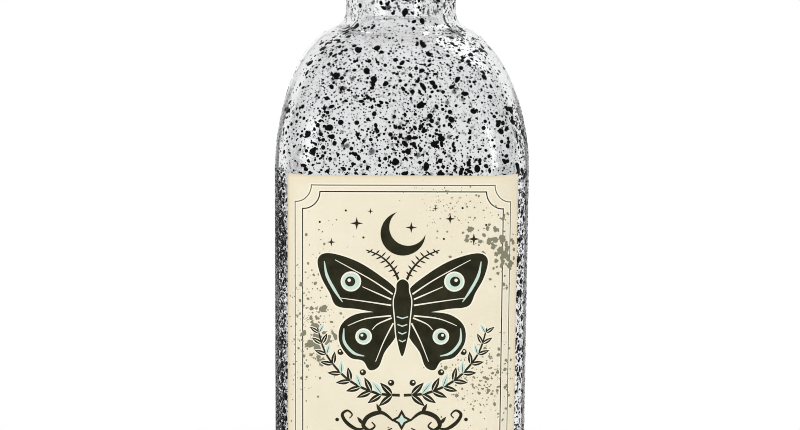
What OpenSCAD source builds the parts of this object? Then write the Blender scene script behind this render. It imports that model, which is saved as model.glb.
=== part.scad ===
// Square glass bottle with a round neck and lip, closed by a tapered cork.
// A paper label is glued to the front and runs round onto the two front corners.
// Frame: +Z up, origin at the centre of the base, the label faces -Y. Millimetres.

/* [Body] */
// Width and depth of the square body
body_w = 76; // [70:1:90]
// Height of the upright walls, up to the start of the shoulder
body_h = 129.5; // [120:0.5:160]
// Radius of the four upright corners
corner_r = 14.5; // [11:0.5:18]
// Radius of the outer edge between the walls and the base
heel_r = 5; // [3:0.5:7]
// Thickness of the glass in the walls
wall = 3.2; // [2.4:0.2:4]

/* [Base] */
// Thickness of the glass in the base
base_t = 6; // [4:0.5:9]
// Radius of the inner edge between the walls and the base
inner_heel_r = 6; // [4:0.5:8]
// Diameter of the domed recess under the base
punt_d = 50; // [36:1:54]
// Depth of the domed recess under the base
punt_depth = 3.5; // [2:0.5:6]

/* [Shoulder] */
// Height that the shoulder's curve would reach on the axis
shoulder_rise = 42.8; // [36:0.2:60]
// Fullness of the shoulder where it leaves the walls, 2 is an ellipse
flank_fullness = 3.5; // [2:0.1:4]
// Fullness of the shoulder where it nears the neck, 2 is an ellipse
crown_fullness = 1.8; // [1.6:0.1:2.6]

/* [Neck] */
// Outer diameter of the neck
neck_d = 33.7; // [32:0.1:36]
// Length of the neck, from the shoulder to the mouth
neck_len = 42.5; // [30:0.5:70]
// Bore of the neck
bore_d = 26; // [24:0.5:26.5]
// Radius of the hollow curve at the foot of the neck
neck_foot_r = 5; // [4:0.5:7]
// Radius of the curve that leads from the shoulder's inside into the bore
bore_foot_r = 6.5; // [5:0.5:8]

/* [Lip] */
// How far the ring at the mouth stands out from the neck
lip_out = 3.2; // [2.4:0.1:5]
// Height of the ring at the mouth
lip_h = 9.5; // [9:0.5:14]
// Radius of the ring's outer edges
lip_round = 3.8; // [2:0.2:4]
// Radius of the edge where the bore meets the rim
mouth_round = 1.6; // [1:0.2:2]

/* [Stopper] */
// Length of the cork
cork_len = 38; // [30:1:45]
// How much of the cork stands above the mouth when it is pushed home
cork_proud = 16; // [10:0.5:20]
// How much wider the cork's top is than its foot
cork_taper = 7; // [5:0.5:8]
// Chamfer on both ends of the cork
cork_chamfer = 1; // [0.5:0.1:1.5]
// Clearance all round the cork where it meets the top of the bore
cork_gap = 0.05; // [0.02:0.01:0.1]

/* [Label] */
// How far the paper runs round each front corner, measured along the glass
label_reach = 11.5; // [4:0.5:15]
// Height of the paper
label_h = 108; // [60:1:110]
// Thickness of the paper with its glue
label_t = 0.2; // [0.1:0.05:0.4]
// Distance from the start of the shoulder down to the label's top edge
label_drop = 0.5; // [0.5:0.5:6]

/* [Hidden] */

$fn = 96;
corner_steps = 14;
shoulder_steps = 18;
heel_steps = 5;
body_half = body_w / 2;
cavity_half = body_half - wall;
cavity_corner_r = corner_r - wall;
cavity_rise = shoulder_rise - wall;
neck_r = neck_d / 2;
bore_r = bore_d / 2;
lip_r = neck_r + lip_out;
// Angle that the hollow foot of the neck turns through before it lands on the shoulder
foot_turn = 60;
// Height of the fine step that the landed foot leaves round itself
foot_step = 0.15;
// How far a loft reaches under the foot of the neck, so that the two solids overlap
loft_lap = 1.2;
// Roundness of the section at the top of a loft, where 1 is a circle
top_roundness = 0.97;
// Extra length of a cutting tool past the face that it cuts
past = 1;

// ---- The body's loft: a rounded square that turns into a circle ----

// Points of a rounded square at height z, with the half width w and the corner radius r
function section(w, r, z) = [
    for (quarter = [0:3], step = [0:corner_steps])
        let (
            a = 90 * (quarter + step / corner_steps),
            corner = [[1, 1], [-1, 1], [-1, -1], [1, -1]][quarter] * (w - r)
        )
        [corner[0] + r * cos(a), corner[1] + r * sin(a), z]
];

// Half width of the shoulder at the angle a, from 0 at the walls to 90 on the axis
function shoulder_half(a, half) = half * pow(cos(a), 2 / flank_fullness);

// Height of the shoulder above the walls where its half width has shrunk to w
function shoulder_height(w, half, rise) =
    rise * pow(1 - pow(w / half, flank_fullness), 1 / crown_fullness);

// Corner radius that grows from the walls' to almost the half width at the top
function shoulder_corner(w, half, wall_corner, top_half) =
    let (
        start = wall_corner / half,
        grown = (half - w) / (half - top_half)
    )
    w * (start + (top_roundness - start) * grown);

// The rings of a loft: from the floor round the heel, then up the walls and over the shoulder
function body_rings(half, corner, heel, floor_z, rise, top_half) =
    let (top_angle = acos(pow(top_half / half, flank_fullness / 2)))
    concat(
        [for (i = [0:heel_steps])
            let (
                a = 90 * i / heel_steps,
                inset = heel * (1 - sin(a))
            )
            section(half - inset, corner - inset, floor_z + heel * (1 - cos(a)))],
        [for (i = [0:shoulder_steps])
            let (w = shoulder_half(top_angle * i / shoulder_steps, half))
            section(w, shoulder_corner(w, half, corner, top_half),
                    body_h + shoulder_height(w, half, rise))]
    );

// Skins a stack of rings with equal numbers of points, and closes both ends
module skin(rings) {
    n = len(rings[0]);
    last = len(rings) - 1;
    polyhedron(
        points = [for (ring = rings, p = ring) p],
        faces = concat(
            [[for (i = [0:n - 1]) i]],
            [for (k = [0:last - 1], i = [0:n - 1])
                let (
                    j = (i + 1) % n,
                    low = k * n,
                    high = low + n
                )
                each [[low + i, high + i, high + j], [low + i, high + j, low + j]]],
            [[for (i = [n - 1:-1:0]) last * n + i]]
        )
    );
}

// ---- The round neck: half profiles that are turned about the axis ----

function foot_reach(foot_r) = foot_r * (1 - cos(foot_turn));
function foot_rise(foot_r) = foot_r * sin(foot_turn);

// Height at which a foot of radius foot_r round a core of radius r lands on a shoulder
function seat_z(r, foot_r, half, rise) =
    body_h + foot_step + shoulder_height(r + foot_reach(foot_r), half, rise);

neck_seat_z = seat_z(neck_r, neck_foot_r, body_half, shoulder_rise);
bore_seat_z = seat_z(bore_r, bore_foot_r, cavity_half, cavity_rise);
mouth_z = neck_seat_z + neck_len;

// A round core from the walls' end up to top_z, on a hollow foot that lands at seat
module footed_core(r, foot_r, seat, top_z) {
    foot_edge = r + foot_reach(foot_r);
    foot_top_z = seat + foot_rise(foot_r);
    translate([0, body_h]) square([r, top_z - body_h]);
    translate([0, body_h]) square([foot_edge, seat - body_h]);
    difference() {
        translate([0, body_h]) square([foot_edge, foot_top_z - body_h]);
        translate([r + foot_r, foot_top_z]) circle(foot_r);
    }
}

// The ring at the mouth, with both outer edges rounded
module lip_profile() {
    low_z = mouth_z - lip_h;
    translate([0, low_z]) square([lip_r - lip_round, lip_h]);
    translate([0, low_z + lip_round]) square([lip_r, lip_h - 2 * lip_round]);
    for (z = [low_z + lip_round, mouth_z - lip_round])
        translate([lip_r - lip_round, z]) circle(lip_round);
}

// The tool that flares the bore's upper end into the rounded rim
module mouth_profile() {
    low_z = mouth_z - mouth_round;
    difference() {
        translate([0, low_z]) square([bore_r + mouth_round, mouth_round + past]);
        translate([bore_r + mouth_round, low_z]) circle(mouth_round);
    }
}

module outer_form() {
    skin(body_rings(body_half, corner_r, heel_r, 0, shoulder_rise,
                    neck_r + foot_reach(neck_foot_r) - loft_lap));
    rotate_extrude() {
        footed_core(neck_r, neck_foot_r, neck_seat_z, mouth_z - lip_round);
        lip_profile();
    }
}

// The sphere under the base: extra 0 cuts the recess, extra base_t raises the floor over it
module punt_sphere(extra) {
    sphere_r = (punt_d * punt_d / 4 + punt_depth * punt_depth) / (2 * punt_depth);
    translate([0, 0, punt_depth - sphere_r]) sphere(sphere_r + extra);
}

module cavity() {
    difference() {
        skin(body_rings(cavity_half, cavity_corner_r, inner_heel_r, base_t, cavity_rise,
                        bore_r + foot_reach(bore_foot_r) - loft_lap));
        punt_sphere(base_t);
    }
    rotate_extrude() {
        footed_core(bore_r, bore_foot_r, bore_seat_z, mouth_z + past);
        mouth_profile();
    }
}

module bottle() {
    color("gainsboro", 0.5)
        difference() {
            outer_form();
            cavity();
            punt_sphere(0);
        }
}

// ---- The cork, whose taper stops where it meets the top of the bore ----

bore_top_z = mouth_z - mouth_round;
cork_foot_z = mouth_z + cork_proud - cork_len;
cork_slope = cork_taper / 2 / cork_len;
cork_foot_r = bore_r - cork_gap - cork_slope * (bore_top_z - cork_foot_z);
cork_top_r = cork_foot_r + cork_taper / 2;

module cork_stopper() {
    flank = cork_chamfer * cork_slope;
    color("burlywood")
        translate([0, 0, cork_foot_z])
            rotate_extrude()
                polygon([
                    [0, 0],
                    [cork_foot_r - cork_chamfer, 0],
                    [cork_foot_r + flank, cork_chamfer],
                    [cork_top_r - flank, cork_len - cork_chamfer],
                    [cork_top_r - cork_chamfer, cork_len],
                    [0, cork_len]
                ]);
}

// ---- The label, bent round the two front corners ----

face_half = body_half - corner_r;
label_top_z = body_h - label_drop;

// The bend round one corner, which starts where the flat face ends
module label_bend() {
    turn = label_reach / corner_r * 180 / PI;
    sector_r = 2 * corner_r;
    intersection() {
        difference() {
            circle(corner_r + label_t);
            circle(corner_r);
        }
        polygon(concat([[0, 0]], [for (a = [0, turn / 2, turn]) sector_r * [sin(a), -cos(a)]]));
    }
}

module front_label() {
    color("antiquewhite")
        translate([0, 0, label_top_z - label_h])
            linear_extrude(label_h) {
                translate([-face_half, -body_half - label_t]) square([2 * face_half, label_t]);
                for (side = [0, 1])
                    mirror([side, 0])
                        translate([face_half, corner_r - body_half]) label_bend();
            }
}

bottle();
cork_stopper();
front_label();
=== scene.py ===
"""Dresses a square poison bottle: clear glass, black spatter, an aged paper label and a cork.

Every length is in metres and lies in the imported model's own frame: +Z up, the origin at the
centre of the base, and the label facing -Y.
"""

import logging
import math
import random
from dataclasses import dataclass
from enum import Enum

import bpy
from mathutils import Matrix, Vector, noise
from mathutils.geometry import delaunay_2d_cdt


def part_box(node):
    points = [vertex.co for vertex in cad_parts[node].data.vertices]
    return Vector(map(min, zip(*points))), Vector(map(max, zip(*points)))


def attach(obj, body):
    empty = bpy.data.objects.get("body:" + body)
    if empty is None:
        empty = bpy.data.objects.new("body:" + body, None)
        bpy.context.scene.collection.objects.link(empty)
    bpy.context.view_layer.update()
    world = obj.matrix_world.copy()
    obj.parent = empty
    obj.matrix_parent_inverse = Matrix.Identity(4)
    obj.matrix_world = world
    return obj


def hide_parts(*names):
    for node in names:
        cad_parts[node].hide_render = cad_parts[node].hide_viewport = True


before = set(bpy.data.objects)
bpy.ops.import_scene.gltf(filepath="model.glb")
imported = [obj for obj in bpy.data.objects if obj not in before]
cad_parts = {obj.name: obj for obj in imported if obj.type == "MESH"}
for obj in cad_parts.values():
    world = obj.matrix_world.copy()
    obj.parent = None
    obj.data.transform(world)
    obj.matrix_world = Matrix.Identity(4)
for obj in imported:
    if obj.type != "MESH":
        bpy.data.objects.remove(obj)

LOG = logging.getLogger("poison_bottle")
MM = 0.001
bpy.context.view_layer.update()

Point = tuple[float, float]
Colour = tuple[float, float, float, float]

BLACK: Colour = (0.0, 0.0, 0.0, 1.0)
WHITE: Colour = (1.0, 1.0, 1.0, 1.0)


class Body(Enum):
    """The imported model's bodies."""

    BOTTLE = "bottle"
    STOPPER = "stopper"


class Slot(Enum):
    """The material slots."""

    GLASS = "glass"
    CORK = "cork"
    PAPER = "paper"
    LACQUER = "black_paint"
    INK = "label_ink"


class Ink(Enum):
    """What the print leaves at a spot of the paper. A later shape covers an earlier one."""

    BARE = 0
    DARK = 1
    SAGE = 2
    FAINT = 3
    SPLASH = 4
    PALE = 5


def srgb(red: float, green: float, blue: float) -> Colour:
    """Turns a colour seen on a screen into the shaders' linear one.

    Args:
        red: Red from 0 to 255.
        green: Green from 0 to 255.
        blue: Blue from 0 to 255.

    Returns:
        The linear colour with full opacity.
    """
    def linear(level: float) -> float:
        """Undoes the screen's curve for one channel."""
        share = level / 255
        return share / 12.92 if share <= 0.04045 else ((share + 0.055) / 1.055) ** 2.4

    return linear(red), linear(green), linear(blue), 1.0


def dimmed(colour: Colour, share: float) -> Colour:
    """Darkens a colour to a share of its light."""
    return tuple(share * part for part in colour[:3]) + (1.0,)


def held(value: float) -> float:
    """Holds a value between 0 and 1."""
    return min(1.0, max(0.0, value))


# ---- Writing node trees ----


@dataclass
class NodeSheet:
    """Adds nodes to one tree, and feeds their sockets by name or by number."""

    tree: bpy.types.NodeTree

    def feed(self, node: bpy.types.Node, key: str | int, value: object) -> None:
        """Links a socket to an output, or sets its constant.

        Args:
            node: The node that receives.
            key: The input's name, or its number among the inputs in use.
            value: An output socket, a node whose first output is meant, or a constant.
        """
        live = [socket for socket in node.inputs if socket.enabled]
        found = live[key] if isinstance(key, int) else next(s for s in live if s.name == key)
        if isinstance(value, bpy.types.Node):
            value = next(socket for socket in value.outputs if socket.enabled)
        if isinstance(value, bpy.types.NodeSocket):
            self.tree.links.new(value, found)
        else:
            found.default_value = value

    def add(self, kind: str, inputs: dict | None = None, **settings: object) -> bpy.types.Node:
        """Adds a node.

        Args:
            kind: Blender's name of the node type.
            inputs: What each input receives, as in feed.
            settings: The node's own properties.

        Returns:
            The new node.
        """
        node = self.tree.nodes.new(kind)
        for name, value in settings.items():
            setattr(node, name, value)
        for key, value in (inputs or {}).items():
            self.feed(node, key, value)
        return node

    def out(self, node: bpy.types.Node, name: str) -> bpy.types.NodeSocket:
        """Finds an output in use by its name."""
        return next(socket for socket in node.outputs if socket.enabled and socket.name == name)

    def math(self, operation: str, *values: object) -> bpy.types.NodeSocket:
        """Adds a Math node and returns its result."""
        return self.add("ShaderNodeMath", dict(enumerate(values)), operation=operation).outputs[0]

    def vector(self, operation: str, *values: object, scale: object = None) -> bpy.types.NodeSocket:
        """Adds a Vector Math node and returns its vector."""
        inputs = dict(enumerate(values)) | ({} if scale is None else {"Scale": scale})
        return self.add("ShaderNodeVectorMath", inputs, operation=operation).outputs[0]

    def ramp(self, value: object, low: float, high: float, start: float = 0.0,
             end: float = 1.0) -> bpy.types.NodeSocket:
        """Maps a value from low..high to start..end, held at both ends.

        Args:
            value: What is mapped.
            low: The value that gives start.
            high: The value that gives end.
            start: The result at low.
            end: The result at high.

        Returns:
            The mapped value.
        """
        node = self.add("ShaderNodeMapRange", {"Value": value, "From Min": low, "From Max": high,
                                               "To Min": start, "To Max": end})
        return node.outputs[0]

    def blend(self, share: object, first: object, second: object) -> bpy.types.NodeSocket:
        """Mixes two colours: a share of 0 gives the first, and 1 the second."""
        node = self.add("ShaderNodeMix", {0: share, 1: first, 2: second}, data_type="RGBA")
        return self.out(node, "Result")

    def wash(self, mask: object, share: float, ground: object, colour: object) -> bpy.types.NodeSocket:
        """Lays a colour over a ground where a mask stands, and nowhere by more than a share."""
        return self.blend(self.math("MULTIPLY", mask, share), ground, colour)

    def length(self, vector: object) -> bpy.types.NodeSocket:
        """Measures a vector."""
        return self.out(self.add("ShaderNodeVectorMath", {0: vector}, operation="LENGTH"), "Value")

    def seen(self) -> bpy.types.NodeSocket:
        """Gives 1 to the rays that show a thing straight, in a mirror or through glass.

        Returns:
            The mask.
        """
        path = self.add("ShaderNodeLightPath")
        bent = self.math("MAXIMUM", self.out(path, "Is Transmission Ray"), self.out(path, "Is Glossy Ray"))
        return self.math("MAXIMUM", self.out(path, "Is Camera Ray"), bent)

    def carried(self, name: str) -> bpy.types.NodeSocket:
        """Reads a number that the points of a Geometry Nodes tree carry."""
        node = self.add("GeometryNodeInputNamedAttribute", {"Name": name}, data_type="FLOAT")
        return self.out(node, "Attribute")

    def keep(self, geometry: object, name: str, value: object) -> bpy.types.NodeSocket:
        """Stores a number on each point of a Geometry Nodes tree, and gives the geometry."""
        inputs = {"Geometry": geometry, "Name": name, "Value": value}
        return self.add("GeometryNodeStoreNamedAttribute", inputs, data_type="FLOAT").outputs[0]


class Effect(Enum):
    """Shader node groups that more than one finish uses."""

    MOTTLE = "surface_mottle"
    FLECK = "surface_flecks"


@dataclass(frozen=True)
class Pattern:
    """How a finish uses an effect.

    The scale counts cells for each metre. Low and high are the raw values that give 0 and 1. A
    stretch draws the cells out along an axis where it is under 1.
    """

    effect: Effect
    scale: float
    low: float
    high: float
    stretch: tuple[float, float, float] | None = None


def effect_group(effect: Effect) -> bpy.types.NodeTree:
    """Gives the shared node group of an effect, and builds it the first time.

    Args:
        effect: Which effect is meant. A mottle drifts softly between Low and High. Flecks are
            small separate grains that stand at 1 on a ground of 0.

    Returns:
        The group, whose output is called Mask.
    """
    known = bpy.data.node_groups.get(effect.value)
    if known:
        return known
    group = bpy.data.node_groups.new(effect.value, "ShaderNodeTree")
    for name, kind, value in (("Place", "NodeSocketVector", None), ("Scale", "NodeSocketFloat", 100.0),
                              ("Low", "NodeSocketFloat", 0.35), ("High", "NodeSocketFloat", 0.65)):
        socket = group.interface.new_socket(name, in_out="INPUT", socket_type=kind)
        if value is not None:
            socket.default_value = value
    group.interface.new_socket("Mask", in_out="OUTPUT", socket_type="NodeSocketFloat")
    sheet = NodeSheet(group)
    given = sheet.add("NodeGroupInput")
    place, scale = sheet.out(given, "Place"), sheet.out(given, "Scale")
    if effect is Effect.MOTTLE:
        source = sheet.add("ShaderNodeTexNoise", {"Vector": place, "Scale": scale, "Detail": 5.0,
                                                  "Roughness": 0.6})
        raw = sheet.out(source, "Fac")
    else:
        source = sheet.add("ShaderNodeTexVoronoi", {"Vector": place, "Scale": scale,
                                                    "Randomness": 1.0})
        raw = sheet.math("SUBTRACT", 1.0, sheet.out(source, "Distance"))
    mask = sheet.add("ShaderNodeMapRange", {"Value": raw, "From Min": sheet.out(given, "Low"),
                                            "From Max": sheet.out(given, "High")})
    sheet.add("NodeGroupOutput", {"Mask": mask})
    return group


class FinishSheet(NodeSheet):
    """The node tree of one material, with a Principled BSDF on its output."""

    def __init__(self, name: str) -> None:
        """Makes the material.

        Args:
            name: The material's name.
        """
        self.material = bpy.data.materials.new(name)
        self.material.use_nodes = True
        super().__init__(self.material.node_tree)
        self.tree.nodes.clear()
        self.surface = self.add("ShaderNodeBsdfPrincipled")
        self.output = self.add("ShaderNodeOutputMaterial", {"Surface": self.surface})
        self.place = self.out(self.add("ShaderNodeTexCoord"), "Object")

    def shine(self, **inputs: object) -> None:
        """Feeds the Principled BSDF: an underscore in a name stands for a space."""
        for name, value in inputs.items():
            self.feed(self.surface, name.replace("_", " "), value)

    def effect(self, pattern: Pattern) -> bpy.types.NodeSocket:
        """Places a shared effect in this material.

        Args:
            pattern: Which effect, and its values.

        Returns:
            The effect's mask.
        """
        place = self.place
        if pattern.stretch:
            place = self.add("ShaderNodeMapping", {"Vector": place, "Scale": pattern.stretch})
        node = self.add("ShaderNodeGroup", {
            "Place": place, "Scale": pattern.scale, "Low": pattern.low, "High": pattern.high},
            node_tree=effect_group(pattern.effect))
        return node.outputs[0]

    def attribute(self, name: str) -> bpy.types.NodeSocket:
        """Reads a number that the mesh carries."""
        return self.out(self.add("ShaderNodeAttribute", attribute_name=name), "Fac")

    def bump(self, height: object, depth: float, strength: float = 1.0) -> None:
        """Raises the surface by a height field, to a depth in metres."""
        node = self.add("ShaderNodeBump", {"Strength": strength, "Distance": depth, "Height": height})
        self.shine(Normal=node)


# ---- Finishes ----


@dataclass(frozen=True)
class GlassFinish:
    """Clear moulded glass with a faint grey cast. Its inside is a little less smooth."""

    tint: Colour = (0.889, 0.894, 0.897, 1.0)
    index: float = 1.5
    outer_roughness: float = 0.012
    inner_roughness: float = 0.085
    shade: Colour = (0.93, 0.935, 0.94, 1.0)
    breath: Pattern = Pattern(Effect.MOTTLE, 45.0, 0.40, 0.75, (1.0, 1.0, 0.35))
    breath_tint: float = 0.97
    breath_dulling: Point = (0.85, 1.3)
    # The rim values set a painted shade that darkens the shoulder where it is seen edge-on.
    rim_slant: Point = (0.3, 0.85)
    rim_height: Point = (124 * MM, 142 * MM)
    rim_painted_shade: float = 0.17

    def build(self) -> bpy.types.Material:
        """Makes the material.

        Returns:
            The glass, darkened by painted shade where the shoulder is seen edge-on. It lets shadow rays
            through, so that light reaches what it holds.
        """
        sheet = FinishSheet("clear_glass")
        breath = sheet.effect(self.breath)
        level = sheet.ramp(sheet.attribute(GlassBottle.INSIDE), 0.0, 1.0,
                           self.outer_roughness, self.inner_roughness)
        colour = sheet.blend(breath, self.tint, dimmed(self.tint, self.breath_tint))
        # Painted shade: the base colour darkens towards black where the shoulder is seen edge-on.
        height = sheet.add("ShaderNodeSeparateXYZ", {0: sheet.place}).outputs[2]
        slant = sheet.out(sheet.add("ShaderNodeLayerWeight", {"Blend": 0.5}), "Facing")
        painted_edge_shade = sheet.math("MULTIPLY", sheet.ramp(slant, *self.rim_slant, 0.0, self.rim_painted_shade),
                          sheet.ramp(height, *self.rim_height))
        sheet.shine(
            Base_Color=sheet.blend(painted_edge_shade, colour, BLACK),
            Roughness=sheet.math("MULTIPLY", level, sheet.ramp(breath, 0.0, 1.0, *self.breath_dulling)),
            IOR=self.index, Metallic=0.0, Transmission_Weight=1.0)
        path = sheet.add("ShaderNodeLightPath")
        clear = sheet.add("ShaderNodeBsdfTransparent", {"Color": self.shade})
        mix = sheet.add("ShaderNodeMixShader", {0: sheet.out(path, "Is Shadow Ray"),
                                                1: sheet.surface, 2: clear})
        sheet.feed(sheet.output, "Surface", mix)
        return sheet.material


@dataclass(frozen=True)
class LacquerFinish:
    """Black lacquer that dried in drops, glossy in some patches and duller where it lies thin."""

    black: Colour = (0.0015, 0.0015, 0.0016, 1.0)
    thin: Colour = (0.0045, 0.0043, 0.0043, 1.0)
    patches: Pattern = Pattern(Effect.MOTTLE, 900.0, 0.35, 0.7)
    grit: Pattern = Pattern(Effect.FLECK, 5200.0, 0.45, 0.9)
    roughness: Point = (0.16, 0.34)
    gleam: float = 0.035
    relief: float = 0.004 * MM
    relief_strength: float = 0.4

    def build(self) -> bpy.types.Material:
        """Makes the material.

        Returns:
            The lacquer.
        """
        sheet = FinishSheet("black_lacquer")
        patch = sheet.effect(self.patches)
        sheet.shine(Base_Color=sheet.blend(patch, self.black, self.thin),
                    Roughness=sheet.ramp(patch, 0.0, 1.0, *self.roughness),
                    Specular_IOR_Level=self.gleam)
        sheet.bump(sheet.effect(self.grit), self.relief, self.relief_strength)
        return sheet.material


@dataclass(frozen=True)
class PaperFinish:
    """Coated paper printed to look aged: cream, cloudy, tanned towards its edges."""

    cream: Colour = srgb(242, 233, 209)
    cloud: Colour = srgb(235, 225, 199)
    tan: Colour = srgb(236, 216, 172)
    fibre: Colour = srgb(222, 211, 182)
    clouds: Pattern = Pattern(Effect.MOTTLE, 38.0, 0.35, 0.68)
    blots: Pattern = Pattern(Effect.MOTTLE, 140.0, 0.52, 0.75)
    fibres: Pattern = Pattern(Effect.MOTTLE, 1500.0, 0.56, 0.72, (0.35, 0.35, 1.0))
    grain: Pattern = Pattern(Effect.MOTTLE, 2600.0, 0.3, 0.7)
    blot_share: float = 0.28
    fibre_share: float = 0.22
    tan_width: Point = (0.2 * MM, 3.4 * MM)
    tan_wander: float = 1.2 * MM
    tan_share: Point = (0.28, 0.55)
    roughness: Point = (0.43, 0.56)
    relief: float = 0.012 * MM
    relief_strength: float = 0.5

    def build(self) -> bpy.types.Material:
        """Makes the material.

        Returns:
            The paper.
        """
        sheet = FinishSheet("aged_paper")
        cloud, blot, grain = (sheet.effect(each) for each in (self.clouds, self.blots, self.grain))
        edge = sheet.math("ADD", sheet.attribute(PaperLabel.EDGE),
                          sheet.ramp(cloud, 0.0, 1.0, -self.tan_wander, self.tan_wander))
        ground = sheet.blend(cloud, self.cream, self.cloud)
        ground = sheet.wash(blot, self.blot_share, ground, self.cloud)
        ground = sheet.wash(sheet.effect(self.fibres), self.fibre_share, ground, self.fibre)
        tanned = sheet.math("MULTIPLY", sheet.ramp(edge, *self.tan_width, 1.0, 0.0),
                            sheet.ramp(blot, 0.0, 1.0, *self.tan_share))
        sheet.shine(Base_Color=sheet.blend(tanned, ground, self.tan),
                    Roughness=sheet.ramp(grain, 0.0, 1.0, *self.roughness))
        sheet.bump(grain, self.relief, self.relief_strength)
        return sheet.material


@dataclass(frozen=True)
class InkFinish:
    """Printing inks, slightly uneven as they sank into the paper."""

    dark: Colour = srgb(25, 24, 8)
    worn: Colour = srgb(53, 52, 33)
    sage: Colour = srgb(205, 227, 214)
    faint: Colour = srgb(108, 104, 82)
    splash: Colour = srgb(134, 133, 112)
    pale: Colour = srgb(250, 245, 226)
    wear: Pattern = Pattern(Effect.MOTTLE, 210.0, 0.3, 0.7)
    grain: Pattern = Pattern(Effect.MOTTLE, 2600.0, 0.3, 0.7)
    wear_share: float = 0.8
    grain_share: float = 0.012
    roughness: Point = (0.42, 0.56)
    gleam: float = 0.1
    relief: float = 0.01 * MM
    relief_strength: float = 0.4

    def build(self) -> bpy.types.Material:
        """Makes the material, whose colour follows the number of the ink that each face carries.

        Returns:
            The ink.
        """
        sheet = FinishSheet("printing_ink")
        ink, grain = sheet.attribute(PaperLabel.INK), sheet.effect(self.grain)
        tone = sheet.wash(sheet.effect(self.wear), self.wear_share, self.dark, self.worn)
        for number, colour in ((Ink.SAGE, self.sage), (Ink.FAINT, self.faint),
                               (Ink.SPLASH, self.splash), (Ink.PALE, self.pale)):
            chosen = sheet.math("COMPARE", ink, float(number.value), 0.4)
            tone = sheet.blend(chosen, tone, colour)
        sheet.shine(Base_Color=sheet.wash(grain, self.grain_share, tone, self.faint),
                    Roughness=sheet.ramp(grain, 0.0, 1.0, *self.roughness),
                    Specular_IOR_Level=self.gleam)
        sheet.bump(grain, self.relief, self.relief_strength)
        return sheet.material


@dataclass(frozen=True)
class CorkFinish:
    """Natural cork: warm granules, darker growth lines and brown pits."""

    light: Colour = srgb(206, 168, 118)
    warm: Colour = srgb(180, 136, 88)
    line: Colour = srgb(150, 106, 66)
    pit: Colour = srgb(82, 54, 33)
    granules: Pattern = Pattern(Effect.MOTTLE, 420.0, 0.35, 0.65)
    growth: Pattern = Pattern(Effect.MOTTLE, 150.0, 0.5, 0.62, (1.0, 1.0, 0.16))
    flecks: Pattern = Pattern(Effect.FLECK, 640.0, 0.72, 0.9)
    growth_share: float = 0.6
    fleck_share: float = 0.35
    roughness: Point = (0.74, 0.9)
    gleam: float = 0.3
    relief: float = 0.12 * MM
    relief_strength: float = 0.6

    def build(self) -> bpy.types.Material:
        """Makes the material.

        Returns:
            The cork.
        """
        sheet = FinishSheet("natural_cork")
        granule = sheet.effect(self.granules)
        ground = sheet.blend(granule, self.light, self.warm)
        ground = sheet.wash(sheet.effect(self.growth), self.growth_share, ground, self.line)
        ground = sheet.wash(sheet.effect(self.flecks), self.fleck_share, ground, self.line)
        sheet.shine(Base_Color=sheet.blend(sheet.attribute(CorkStopper.PIT), ground, self.pit),
                    Roughness=sheet.ramp(granule, 0.0, 1.0, *self.roughness),
                    Specular_IOR_Level=self.gleam)
        sheet.bump(granule, self.relief, self.relief_strength)
        return sheet.material


@dataclass(frozen=True)
class FloorFinish:
    """A plain pale floor that runs to white away from the object and keeps its shadow."""

    pale: Colour = (0.86, 0.86, 0.86, 1.0)
    dust: Pattern = Pattern(Effect.MOTTLE, 30.0, 0.3, 0.7)
    dust_tint: float = 0.98
    roughness: float = 0.7
    gleam: float = 0.2
    glow: float = 1.0
    near: float = 0.075
    far: float = 0.17
    near_share: float = 0.3

    def build(self) -> bpy.types.Material:
        """Makes the material.

        Returns:
            The floor's finish.
        """
        sheet = FinishSheet("pale_floor")
        dusty = sheet.blend(sheet.effect(self.dust), self.pale, dimmed(self.pale, self.dust_tint))
        sheet.shine(Base_Color=dusty, Roughness=self.roughness, Specular_IOR_Level=self.gleam)
        share = sheet.math("MULTIPLY", sheet.seen(), sheet.ramp(
            sheet.length(sheet.place), self.near, self.far, self.near_share, 1.0))
        white = sheet.add("ShaderNodeEmission", {"Color": WHITE, "Strength": self.glow})
        mix = sheet.add("ShaderNodeMixShader", {0: share, 1: sheet.surface, 2: white})
        sheet.feed(sheet.output, "Surface", mix)
        return sheet.material


# ---- Making meshes ----


def mesh_object(name: str, points: list, faces: list, material: bpy.types.Material | None,
                smooth: bool = True) -> bpy.types.Object:
    """Makes a mesh object at the origin.

    Args:
        name: The piece's name.
        points: The vertices' places.
        faces: Each face's vertex numbers.
        material: The finish, or None for a helper.
        smooth: Whether the faces shade smoothly.

    Returns:
        The linked object.
    """
    mesh = bpy.data.meshes.new(name)
    mesh.from_pydata([tuple(p) for p in points], [], faces)
    mesh.update()
    if smooth:
        mesh.shade_smooth()
    if material:
        mesh.materials.append(material)
    made = bpy.data.objects.new(name, mesh)
    bpy.context.scene.collection.objects.link(made)
    return made


def carry(mesh: bpy.types.Mesh, name: str, values: list[float], domain: str = "POINT") -> None:
    """Stores one number for each vertex of a mesh, or for each face where the domain is FACE."""
    layer = mesh.attributes.new(name, "FLOAT", domain)
    layer.data.foreach_set("value", values)


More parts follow.
